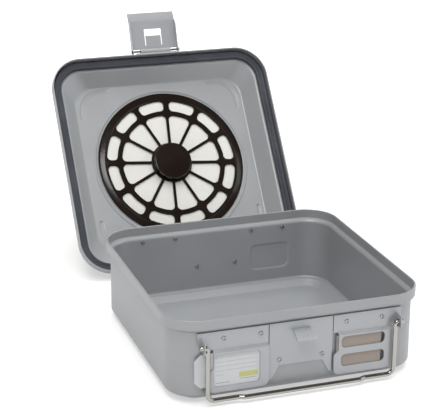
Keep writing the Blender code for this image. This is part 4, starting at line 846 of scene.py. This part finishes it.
class CONTAINER_OT_base_shell(bpy.types.Operator):
    """Draw the base: a rim band over a joggle, straight walls, a stepped foot and the pressed panels"""
    bl_idname = "container.base_shell"
    bl_label = "Base shell"

    def execute(self, context):
        size = context.scene.container_base
        wall, foot_in = size.joggle_in, size.joggle_in + size.ledge_width
        corners = [(foot_in + size.foot_slope_in + size.foot_radius * 2, 0),
                   (foot_in + size.foot_slope_in, 0),
                   (foot_in, size.ledge_height), (wall, size.ledge_height),
                   (wall, size.height - size.band_height - size.joggle_drop),
                   (0, size.height - size.band_height), (0, size.height - size.edge_radius)]
        radii = [size.foot_radius, size.step_radius, size.ledge_radius, size.joggle_radius, size.band_radius]
        outer = divided(rounded_path(corners, radii), 0.0009)
        inner = beside(outer, -size.sheet)[::-1]
        edge = half_round(0, size.sheet, size.height, size.edge_radius)
        profile = np.concatenate([outer[:-1], edge, inner[1:]])
        insets, levels = profile[:, 0], profile[:, 1]
        radii = np.maximum(size.rim_radius - insets, size.foot_radius)
        span = size.rim_x / 2 - size.rim_radius
        edges = [side * (size.emboss_x + part * size.emboss_width / 2)
                 for side in (-1, 1) for part in (-1, 1)]
        across = straight_stations(span, edges, 0.006, 0.0006, 0.0032)
        along = straight_stations(size.rim_y / 2 - size.rim_radius, [], 0.012, 0.012, 0)
        columns = ring_columns(20, across, along)
        points = ring_points(columns, size.rim_x / 2, size.rim_y / 2, insets, radii, levels)
        points = self.pressed(points, size)
        make_piece("base_drawn_shell", [(points, False, True)], "base", "satin shell",
                   SHEET_SHARP, "base_shell")
        return {"FINISHED"}

    @staticmethod
    def pressed(points, size):
        """Moves the front wall by -d m and the rear one by d m.

        m falls smoothly from 1 to 0 over the draft, by the distance outside a rounded box round each
        panel's centre: |max(|p - c| - h + r, 0)| - r.
        """
        x, y, z = points[..., 0], points[..., 1], points[..., 2]
        middle = (size.emboss_low + size.emboss_top) / 2
        half_z = (size.emboss_top - size.emboss_low) / 2 - size.emboss_radius
        half_x = size.emboss_width / 2 - size.emboss_radius
        on_wall = np.abs(y) > size.rim_y / 2 - size.joggle_in - size.sheet - size.emboss_depth
        off_x = np.maximum(np.abs(x - np.sign(y) * size.emboss_x) - half_x, 0)
        off_z = np.maximum(np.abs(z - middle) - half_z, 0)
        outside = np.hypot(off_x, off_z) - size.emboss_radius
        mask = smooth_step(1 - outside / size.emboss_draft) * on_wall
        points = points.copy()
        points[..., 1] += np.sign(y) * size.emboss_depth * mask
        return points


class CONTAINER_OT_lid_shell(bpy.types.Operator):
    """Draw the lid: skirt, gasket shelf, sloped wall, panel with stacking arcs, seat and perforations"""
    bl_idname = "container.lid_shell"
    bl_label = "Lid shell"

    def execute(self, context):
        size, grille = context.scene.container_lid, context.scene.container_retainer
        shelf = -size.skirt_depth - size.sheet
        back = -size.panel_depth - size.sheet
        slope_end = size.shelf_width + size.slope_width
        corners = [(slope_end + size.panel_lap, back), (slope_end, back), (size.shelf_width, shelf),
                   (0, shelf), (0, -size.edge_radius)]
        radii = [size.panel_bend, size.shelf_bend, size.skirt_bend]
        outer = divided(rounded_path(corners, radii, 7), 0.002)
        inner = beside(outer, -size.sheet)[::-1]
        edge = half_round(0, size.sheet, 0, size.edge_radius, 3)
        profile = np.concatenate([outer[:-1], edge, inner[1:]])
        insets, levels = profile[:, 0], profile[:, 1]
        columns = self.columns(size)
        radii = self.corner_radii(insets, size)
        body = ring_points(columns, size.lid_x / 2, size.lid_y / 2, insets, radii, levels)
        outside = self.panel(body[0], back, size, False)
        inside = self.panel(body[-1], -size.panel_depth, size, True)
        points = np.concatenate([outside[::-1], body[1:-1], inside])
        verts, faces = grid_solids([(points, False, False)])
        mesh = bpy.data.meshes.new("lid_drawn_shell")
        mesh.from_pydata(verts.tolist(), [], faces)
        self.add_disc(mesh, points[0, :, :2], size, grille)
        mesh.transform(Matrix(lid_matrix(size).tolist()))
        finish_piece(mesh, "lid_drawn_shell", "lid", finish("satin shell"), SHEET_SHARP,
                     ("lid_shell",))
        return {"FINISHED"}

    @staticmethod
    def columns(size):
        half_x, half_y = size.lid_x / 2 - size.radius, size.lid_y / 2 - size.radius
        across = straight_stations(half_x, [-half_x, half_x], 0.006, 0.0012, 0.020)
        along = straight_stations(half_y, [-half_y, half_y], 0.006, 0.0012, 0.020)
        return ring_columns(36, across, along)

    @staticmethod
    def corner_radii(insets, size):
        """As tight as the rim's as far as the shelf, then an even change to the panel's radius."""
        part = np.clip((insets - size.shelf_width) / size.slope_width, 0, 1)
        kept = size.radius - np.minimum(insets, size.shelf_width)
        return kept * (1 - part) + size.panel_radius * part

    @staticmethod
    def panel(ring, level, size, inside):
        """The flat panel from its edge ring to the disc: rows p = (1 - s) ring + s circle, then circles.

        The stacking arcs press it away from the lid's inside by h m(d), d being the distance to the arc's
        centre line and m a smooth step, and the seat raises its inner face by h m(|r - R|).
        """
        angles = np.arctan2(ring[:, 1], ring[:, 0])
        direction = np.stack([np.cos(angles), np.sin(angles)], axis=1)
        circle_ring = direction * size.bead_outer
        parts = np.linspace(0, 1, 50)[:, None, None]
        flat = ring[None, :, :2] * (1 - parts) + circle_ring[None] * parts
        radii = np.linspace(size.bead_outer, size.disc_radius, 20)[1:, None, None]
        flat = np.concatenate([flat, direction[None] * radii])
        if inside:
            flat = flat[1:]
        x, y = np.abs(flat[..., 0]), np.abs(flat[..., 1])
        along_x, along_y = x - size.arc_x, y - size.arc_y
        on_arc = np.abs(np.hypot(along_x, along_y) - size.arc_radius)
        tail_y = np.hypot(along_x - size.arc_radius, np.maximum(-along_y - size.arc_tail, 0))
        tail_x = np.hypot(along_y - size.arc_radius, np.maximum(-along_x - size.arc_tail, 0))
        away = np.where((along_x >= 0) & (along_y >= 0), on_arc,
                        np.minimum(np.where(along_y < 0, tail_y, 1), np.where(along_x < 0, tail_x, 1)))
        pressed = smooth_step((size.arc_width / 2 + size.arc_blend - away) / (size.arc_width / 2))
        heights = level - size.arc_height * pressed
        if inside:
            off_bead = np.abs(np.hypot(flat[..., 0], flat[..., 1]) - size.bead_radius)
            heights = heights + size.bead_height * smooth_step(
                (size.bead_width / 2 - off_bead) / (size.bead_width / 2) * 1.6)
        return np.concatenate([flat, heights[..., None]], axis=-1)

    @staticmethod
    def add_disc(mesh, rim, size, grille):
        """Joins the perforated disc, whose rim has the shell's own points, and closes the seam."""
        holes = []
        for part, number in PERFORATION_RINGS:
            turns = np.linspace(0, 2 * math.pi, number, endpoint=False)
            for turn in turns:
                middle = grille.radius * part * np.array([math.cos(turn), math.sin(turn)])
                holes.append(circle(size.hole_radius, 20, middle))
        holes.append(circle(grille.bore, 24))
        back = -size.panel_depth - size.sheet
        disc = filled_mesh("lid_disc", [rim] + holes, back, -size.panel_depth)
        joined = bmesh.new()
        joined.from_mesh(disc)
        limit = size.disc_radius - 0.00002
        joined.normal_update()
        rim_faces = [face for face in joined.faces if abs(face.normal.z) < 0.5
                     and all(math.hypot(*vert.co[:2]) > limit for vert in face.verts)]
        bmesh.ops.delete(joined, geom=rim_faces, context="FACES_ONLY")
        joined.from_mesh(mesh)
        bmesh.ops.remove_doubles(joined, verts=joined.verts, dist=SEAM_MERGE)
        joined.to_mesh(mesh)
        joined.free()
        bpy.data.meshes.remove(disc)


class CONTAINER_OT_gasket(bpy.types.Operator):
    """Mould the lid's gasket: a rounded band with a shallow channel, in a rounded rectangle"""
    bl_idname = "container.gasket"
    bl_label = "Gasket"

    def execute(self, context):
        size = context.scene.container_lid
        near = size.sheet + size.gasket_gap
        far = near + size.gasket_width
        low = -size.skirt_depth + size.gasket_lift
        top = low + size.gasket_height
        middle = (near + far) / 2
        corners = [(middle, low), (near, low), (near, top), (middle - size.groove_top, top),
                   (middle - size.groove_foot, top - size.gasket_groove),
                   (middle + size.groove_foot, top - size.gasket_groove),
                   (middle + size.groove_top, top), (far, top), (far, low), (middle, low)]
        bend = size.gasket_radius
        radii = [bend, bend, *GASKET_GROOVE_BENDS, bend, GASKET_INNER_BEND]
        section = rounded_path(corners, radii, 5)[:-1]
        columns = ring_columns(20, np.linspace(-1, 1, 10), np.linspace(-1, 1, 10))
        points = ring_points(columns, size.lid_x / 2, size.lid_y / 2, section[:, 0],
                             size.radius - section[:, 0], section[:, 1])
        make_piece("lid_gasket_band", [(placed(points, lid_matrix(size)), True, False)], "lid",
                   "gasket silicone", MOULDING_SHARP, "lid_gasket")
        return {"FINISHED"}


def window_outline(inner, outer, half_gap, root_round, rim_round, turn, pitch):
    """A window between two spokes of even width.

    Its sides keep half_gap from the spokes' centre lines, its ends lie on circles round the middle, and
    each corner is an arc of its own radius that touches both.
    """
    points = []
    for radius, corner, side in ((outer, rim_round, -1), (outer, rim_round, 1),
                                 (inner, root_round, 1), (inner, root_round, -1)):
        far = radius == outer
        reach = radius - corner if far else radius + corner
        off_line = half_gap + corner
        angle = pitch / 2 - math.asin(off_line / reach)
        centre = reach * np.array([math.cos(angle), side * math.sin(angle)])
        spoke = side * pitch / 2
        to_side = np.array([-math.sin(spoke), math.cos(spoke)]) * side
        to_end = centre / np.linalg.norm(centre) * (1 if far else -1)
        start, end = (to_side, to_end) if (far and side < 0) or (not far and side > 0) else (to_end, to_side)
        bend = math.acos(float(np.clip(start @ end, -1, 1)))
        parts = np.linspace(0, 1, 8)[:, None]
        arc = (np.sin((1 - parts) * bend) * start + np.sin(parts * bend) * end) / math.sin(bend)
        points.append(centre + corner * arc)
        if side < 0 and far or side > 0 and not far:
            sweep = np.linspace(-angle, angle, 12)[1:-1] * (1 if far else -1)
            points.append(radius * np.stack([np.cos(sweep), np.sin(sweep)], axis=1))
    outline = np.concatenate(points)
    turning = np.array([[math.cos(turn), -math.sin(turn)], [math.sin(turn), math.cos(turn)]])
    return outline @ turning.T


class CONTAINER_OT_retainer(bpy.types.Operator):
    """Mould the filter's retainer: a twelve-spoke grille in a ring with a thin ridge and a rolled lip"""
    bl_idname = "container.retainer"
    bl_label = "Retainer"

    def execute(self, context):
        size, lid = context.scene.container_retainer, context.scene.container_lid
        low = -lid.panel_depth + size.rise
        top = low + size.sheet
        edge_low = -lid.panel_depth + size.gap
        pitch = 2 * math.pi / size.spokes
        outlines = [circle(size.ridge_radius - size.grille_lap, 180), circle(size.bore, 24)]
        for k in range(size.spokes):
            turn = size.turn + (k + 1 / 2) * pitch
            outlines.append(window_outline(size.slot_inner, size.slot_outer, size.bar_width / 2,
                                           size.slot_round, size.slot_round, turn, pitch))
            outlines.append(window_outline(size.wedge_inner, size.wedge_outer, size.spoke_width / 2,
                                           size.wedge_root, size.wedge_round, turn, pitch))
        grille = filled_mesh("retainer_grille", outlines, low, top, size.edge, 2)
        grille.transform(Matrix(lid_matrix(lid).tolist()))
        finish_piece(grille, "retainer_grille", "retainer", finish("retainer gloss"),
                     GRILLE_SHARP, ("retainer_plate",))
        ridge = size.ridge_radius
        lip = size.radius - size.lip_width
        lap, lap_top = ridge - size.rim_lap, top - size.rim_lift
        crest = top + size.ridge_height
        corners = [(lap, low), (lip, low), (size.radius - size.lip_run, edge_low), (size.radius, edge_low),
                   (size.radius, edge_low + size.sheet), (lip + size.lip_crease, edge_low + size.sheet),
                   (ridge + size.ridge_foot_out, top + size.ridge_height * 0.1),
                   (ridge + size.ridge_half, crest), (ridge - size.ridge_half, crest),
                   (ridge - size.ridge_foot_in, lap_top), (lap, lap_top), (lap, low)]
        section = rounded_path(corners, RIM_BENDS, 4)[:-1]
        boss_low = top - size.boss_lap
        boss = rounded_path([(size.bore, boss_low), (size.boss_radius, boss_low),
                             (size.boss_radius, top + size.boss_height), (size.bore, top + size.boss_height),
                             (size.bore, boss_low)], BOSS_BENDS, 3)[:-1]
        grids = [(placed(turned_points(outline, steps), lid_matrix(lid)), True, False)
                 for outline, steps in ((section, 200), (boss, 48))]
        make_piece("retainer_rim", grids, "retainer", "retainer gloss", RIM_SHARP,
                   "retainer_plate")
        return {"FINISHED"}


class CONTAINER_OT_button(bpy.types.Operator):
    """Mould the release button with its crown, and turn the stud behind it"""
    bl_idname = "container.button"
    bl_label = "Button and stud"

    def execute(self, context):
        size, lid = context.scene.container_retainer, context.scene.container_lid
        plate = -lid.panel_depth + size.rise + size.sheet
        skirt = plate + size.button_travel + 2 * size.gap
        top = skirt + size.button_height
        inner = size.button_radius - size.button_wall
        ceiling = top - size.button_wall - size.button_dome
        corners = [(size.centre_hole, ceiling), (inner, ceiling), (inner, skirt), (size.button_radius, skirt),
                   (size.button_radius, top - size.button_dome),
                   (size.button_radius / 2, top - size.button_dome / 4), (size.centre_hole, top)]
        radii = [*SKIRT_BENDS, size.button_edge, BUTTON_CROWN_BEND]
        profile = rounded_path(corners, radii, 8)
        matrix = lid_matrix(lid)
        make_piece("retainer_button_cap", [(placed(turned_points(profile, 120), matrix), False, True)],
                   "button", "retainer gloss", MOULDING_SHARP, "retainer_button")
        back = -lid.panel_depth - lid.sheet - size.gap
        end = plate - size.stud_tip_drop
        head = back - size.stud_head_height
        corners = [(size.stud_centre, head), (size.stud_head, head), (size.stud_head, back),
                   (size.stud_radius, back), (size.stud_radius, end), (size.stud_centre, end)]
        profile = rounded_path(corners, STUD_BENDS, 5)
        make_piece("lid_stud_turned", [(placed(turned_points(profile, 64), matrix), False, True)], "lid",
                   "polished wire", SHEET_SHARP, "lid_stud")
        return {"FINISHED"}


class CONTAINER_OT_filter(bpy.types.Operator):
    """Cut the round paper filter under the retainer"""
    bl_idname = "container.filter"
    bl_label = "Paper filter"

    def execute(self, context):
        size, lid = context.scene.container_retainer, context.scene.container_lid
        low = -lid.panel_depth + size.gap
        top = low + size.filter_sheet
        corners = [(size.bore, low), (size.filter_radius, low), (size.filter_radius, top), (size.bore, top),
                   (size.bore, low)]
        section = rounded_path(corners, FILTER_BENDS, 3)[:-1]
        make_piece("filter_sheet", [(placed(turned_points(section, 160), lid_matrix(lid)), True, False)],
                   "lid", "filter fibre", MOULDING_SHARP, "filter_paper")
        return {"FINISHED"}


class CONTAINER_OT_handles(bpy.types.Operator):
    """Bend the two wire handles"""
    bl_idname = "container.handles"
    bl_label = "Wire handles"

    def execute(self, context):
        size = context.scene.container_fittings
        drop = size.bar_z - size.pivot_z
        end = size.leg_x + size.end_length
        half = [(end, 0, 0), (size.leg_x, 0, 0), (size.leg_x, 0, drop), (size.jog_x + size.jog_run, 0, drop),
                (size.jog_x, -size.jog_out, drop)]
        corners = half + [(-x, y, z) for x, y, z in half[::-1]]
        radii = [size.end_radius, size.corner_radius, size.jog_radius, size.jog_radius]
        radii = radii + radii[::-1]
        path = divided(rounded_path(corners, radii, 10), 0.006)
        place = np.array([0, -size.wall_out - size.handle_out, size.pivot_z])
        front = tube_points(path, size.wire_radius, 24)
        front = self.rounded_ends(front, path, size.end_chamfer) + place
        rear = front * (-1, -1, 1)
        for side, points, body in (("front", front, "front_bail"), ("rear", rear, "rear_bail")):
            make_piece(side + "_wire_handle", [(points, False, True)], body,
                       "polished wire", MOULDING_SHARP, side + "_handle")
        return {"FINISHED"}

    @staticmethod
    def rounded_ends(points, path, chamfer):
        """Adds a smaller ring at each end and draws the last one in, so that the cut is chamfered."""
        first = path[0] + (points[0] - path[0]) * 0.8
        last = path[-1] + (points[-1] - path[-1]) * 0.8
        points = points.copy()
        points[0] += unit_rows(path[1] - path[0]) * chamfer
        points[-1] += unit_rows(path[-2] - path[-1]) * chamfer
        return np.concatenate([first[None], points, last[None]])


class CONTAINER_OT_rivets(bpy.types.Operator):
    """Set the rivets of both walls and of the latch brackets"""
    bl_idname = "container.rivets"
    bl_label = "Rivets"

    def execute(self, context):
        size, base, lid = (context.scene.container_fittings, context.scene.container_base,
                           context.scene.container_lid)
        plate = size.gap + size.plate_sheet + size.gap
        for side, sign in (("front", 1), ("rear", -1)):
            for number in range(1, 7):
                node = f"{side}_rivet_{number}"
                low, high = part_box(node)
                x, z = (low[0] + high[0]) / 2, (low[2] + high[2]) / 2
                profile = self.crowned(-base.sheet - size.gap, plate, size)
                points = turned_points(profile, 24)
                points = np.stack([x + sign * points[..., 0], -sign * (size.wall_out + points[..., 2]),
                                   z + points[..., 1]], axis=-1)
                self.rivet(node, points, "base")
            for number in (1, 2):
                node = f"{side}_latch_rivet_{number}"
                low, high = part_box(node)
                x = (low[0] + high[0]) / 2 - lid.place_x
                outer = lid.lid_y / 2 + size.gap + size.plate_sheet + size.gap
                inner = lid.lid_y / 2 - lid.sheet - size.gap
                points = turned_points(self.crowned(inner, outer, size, size.latch_rivet_height), 24)
                flat = np.stack([x - sign * points[..., 0], sign * points[..., 2],
                                 points[..., 1] - size.latch_rivet_drop], axis=-1)
                self.rivet(node, placed(flat, lid_matrix(lid)), "lid")
        return {"FINISHED"}

    @staticmethod
    def crowned(inside, outside, size, inner_height=None):
        """A rivet's outline along its axis: a crowned head with a dimple, the shank and a like head."""
        inner_height = inner_height or size.rivet_height
        angles = np.linspace(math.pi / 2, 0, 7)[:-1]
        crown = size.rivet_dimple + (size.rivet_head - size.rivet_dimple) * np.cos(angles)
        crown = np.stack([crown, np.sin(angles)], axis=1)
        dimple = [(0.0002, 0.05), (size.rivet_dimple * 0.86, 0.05), (size.rivet_dimple * 0.94, 0.85)]
        crown = np.concatenate([dimple, crown])
        below = crown * (1, -inner_height) + (0, inside)
        above = crown[::-1] * (1, size.rivet_height) + (0, outside)
        shank = [(size.rivet_head, inside), (size.rivet_shank, inside), (size.rivet_shank, outside),
                 (size.rivet_head, outside)]
        return np.concatenate([below, shank, above])

    @staticmethod
    def rivet(node, points, body):
        make_piece(node + "_turned", [(points, False, True)], body, "rivet metal",
                   MOULDING_SHARP, node)


class CONTAINER_OT_sheet_fittings(bpy.types.Operator):
    """Round the cut edges of the holders, the catch plates, the latches and their brackets"""
    bl_idname = "container.sheet_fittings"
    bl_label = "Sheet fittings"

    def execute(self, context):
        edge = context.scene.container_fittings.edge
        metal = finish("satin fitting")
        for side in ("front", "rear"):
            for node, body in ((side + "_left_holder", "base"), (side + "_right_holder", "base"),
                               (side + "_catch_plate", "base"), (side + "_latch_bracket", "lid"),
                               (side + "_latch", side + "_catch")):
                softened_copy(node, body, metal, edge)
        return {"FINISHED"}


class CONTAINER_OT_kept_parts(bpy.types.Operator):
    """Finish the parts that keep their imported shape: cards, hinge pins and the button's spring"""
    bl_idname = "container.kept_parts"
    bl_label = "Kept parts"

    def execute(self, context):
        kept = {"label_card": "label print", "indicator_card": "indicator board",
                "button_spring": "polished wire", "front_latch_pin": "polished wire",
                "rear_latch_pin": "polished wire"}
        for node, name in kept.items():
            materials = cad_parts[node].data.materials
            materials.clear()
            materials.append(finish(name))
        return {"FINISHED"}


class CONTAINER_OT_stage(bpy.types.Operator):
    """Set the floor, the lamps, the world and the camera"""
    bl_idname = "container.stage"
    bl_label = "Studio stage"

    def execute(self, context):
        size = context.scene.container_stage
        self.floor(size)
        self.world(size)
        self.lamp("Key", size.key_place, size.key_width, size.key, size.key_aim)
        self.lamp("Side", size.side_place, size.side_width, size.side, size.side_aim)
        top = self.lamp("Top", size.top_place, size.top_width, size.top, size.top_aim)
        top.visible_glossy = False  # it would lie in the lid's panel as a glare
        camera = bpy.data.cameras.new("Camera")
        camera.sensor_fit = "HORIZONTAL"
        camera.sensor_width = 36.0
        camera.lens = size.lens
        camera.clip_start, camera.clip_end = 0.05, 50.0
        holder = bpy.data.objects.new("Camera", camera)
        context.scene.collection.objects.link(holder)
        right, down = np.array(CAMERA_RIGHT), np.array(CAMERA_DOWN)
        ahead = np.cross(right, down)
        turn = np.stack([right, -down, -ahead], axis=1)
        matrix = np.eye(4)
        matrix[:3, :3] = turn
        matrix[:3, 3] = size.camera_place
        holder.matrix_world = Matrix(matrix.tolist())
        context.scene.camera = holder
        context.scene.view_settings.view_transform = "Standard"
        return {"FINISHED"}

    @staticmethod
    def lamp(name, place, width, power, target):
        light = bpy.data.lights.new(name, "AREA")
        light.shape = "SQUARE"
        light.size = width
        light.energy = power
        holder = bpy.data.objects.new(name, light)
        bpy.context.scene.collection.objects.link(holder)
        ahead = unit_rows(np.array(target) - np.array(place))
        side = unit_rows(np.cross(ahead, (0, 0, 1)))
        matrix = np.eye(4)
        matrix[:3, 0], matrix[:3, 1], matrix[:3, 2] = side, np.cross(side, ahead), -ahead
        matrix[:3, 3] = place
        holder.matrix_world = Matrix(matrix.tolist())
        return holder

    @staticmethod
    def floor(size):
        reach = size.floor_size
        mesh = bpy.data.meshes.new("studio_floor")
        corners = [(-reach, -reach, 0), (reach, -reach, 0), (reach, reach, 0), (-reach, reach, 0)]
        mesh.from_pydata(corners, [], [(0, 1, 2, 3)])
        floor = bpy.data.objects.new("studio_floor", mesh)
        bpy.context.scene.collection.objects.link(floor)
        material, tree, shader, place = new_material("studio paper")
        tree.nodes.remove(shader)
        diffuse = add_node(tree, "ShaderNodeBsdfDiffuse", (200, 100))
        diffuse.inputs["Color"].default_value = (*size.floor_colour, 1.0)
        rays = add_node(tree, "ShaderNodeLightPath", (-200, -200))
        seen = math_node(tree, (0, -150), "MAXIMUM", rays.outputs["Is Camera Ray"],
                         rays.outputs["Is Glossy Ray"])
        seen = math_node(tree, (100, -250), "MAXIMUM", seen, rays.outputs["Is Transmission Ray"])
        lift = add_node(tree, "ShaderNodeEmission", (300, -150))
        distance = add_node(tree, "ShaderNodeVectorMath", (-700, -450), operation="LENGTH")
        tree.links.new(place, distance.inputs[0])
        away = add_node(tree, "ShaderNodeMapRange", (-450, -450), interpolation_type="SMOOTHSTEP")
        for label, value in (("From Min", size.far_start), ("From Max", size.far_end),
                             ("To Min", size.floor_lift), ("To Max", size.far_lift)):
            away.inputs[label].default_value = value
        tree.links.new(distance.outputs["Value"], away.inputs["Value"])
        tree.links.new(math_node(tree, (200, -350), "MULTIPLY", seen, away.outputs["Result"]),
                       lift.inputs["Strength"])
        both = add_node(tree, "ShaderNodeAddShader", (500, 0))
        tree.links.new(diffuse.outputs[0], both.inputs[0])
        tree.links.new(lift.outputs[0], both.inputs[1])
        tree.links.new(both.outputs[0], tree.nodes["Material Output"].inputs["Surface"])
        mesh.materials.append(material)

    @staticmethod
    def world(size):
        world = bpy.data.worlds.new("Studio")
        bpy.context.scene.world = world
        world.use_nodes = True
        tree = world.node_tree
        direction = add_node(tree, "ShaderNodeTexCoord", (-900, 0)).outputs["Generated"]
        split = add_node(tree, "ShaderNodeSeparateXYZ", (-700, 0))
        tree.links.new(direction, split.inputs[0])
        ramp = add_node(tree, "ShaderNodeValToRGB", (-450, 0))
        tree.links.new(split.outputs["Z"], ramp.inputs[0])
        walls = (size.walls, size.walls, size.walls)
        steps = ((0.0, walls), (size.horizon, walls), (size.ceiling_start, tuple(size.ceiling)))
        marks = ramp.color_ramp.elements
        marks.new(steps[1][0])
        for mark, (place, tone) in zip(marks, steps):
            mark.position = place
            mark.color = (*tone, 1.0)
        seen = add_node(tree, "ShaderNodeLightPath", (-450, 300)).outputs["Is Camera Ray"]
        tone = mixed(tree, (-150, 0), seen, ramp.outputs[0], (1.0, 1.0, 1.0))
        tree.links.new(tone, tree.nodes["Background"].inputs["Color"])


class CONTAINER_PT_pieces(bpy.types.Panel):
    """Lists the container's pieces and its sizes"""
    bl_idname = "CONTAINER_PT_pieces"
    bl_label = "Sterilization container"
    bl_space_type = "VIEW_3D"
    bl_region_type = "UI"
    bl_category = "Container"

    def draw(self, context):
        layout = self.layout
        column = layout.column(align=True)
        for step in STEPS:
            column.operator(step.bl_idname)
        for name, group in SETTINGS.items():
            box = layout.box()
            box.label(text=group.__name__)
            settings = getattr(context.scene, name)
            for field in group.__annotations__:
                box.prop(settings, field)


STEPS = (CONTAINER_OT_base_shell, CONTAINER_OT_lid_shell, CONTAINER_OT_gasket, CONTAINER_OT_retainer,
         CONTAINER_OT_button, CONTAINER_OT_filter, CONTAINER_OT_handles, CONTAINER_OT_rivets,
         CONTAINER_OT_sheet_fittings, CONTAINER_OT_kept_parts, CONTAINER_OT_stage)


def register():
    for group in SETTINGS.values():
        bpy.utils.register_class(group)
    for name, group in SETTINGS.items():
        setattr(bpy.types.Scene, name, PointerProperty(type=group))
    for step in STEPS + (CONTAINER_PT_pieces,):
        bpy.utils.register_class(step)


def unregister():
    for step in (CONTAINER_PT_pieces,) + STEPS[::-1]:
        bpy.utils.unregister_class(step)
    for name, group in SETTINGS.items():
        delattr(bpy.types.Scene, name)
        bpy.utils.unregister_class(group)


def main():
    register()
    for step in STEPS:
        group, name = step.bl_idname.split(".")
        getattr(getattr(bpy.ops, group), name)()


if __name__ == "__main__":
    main()
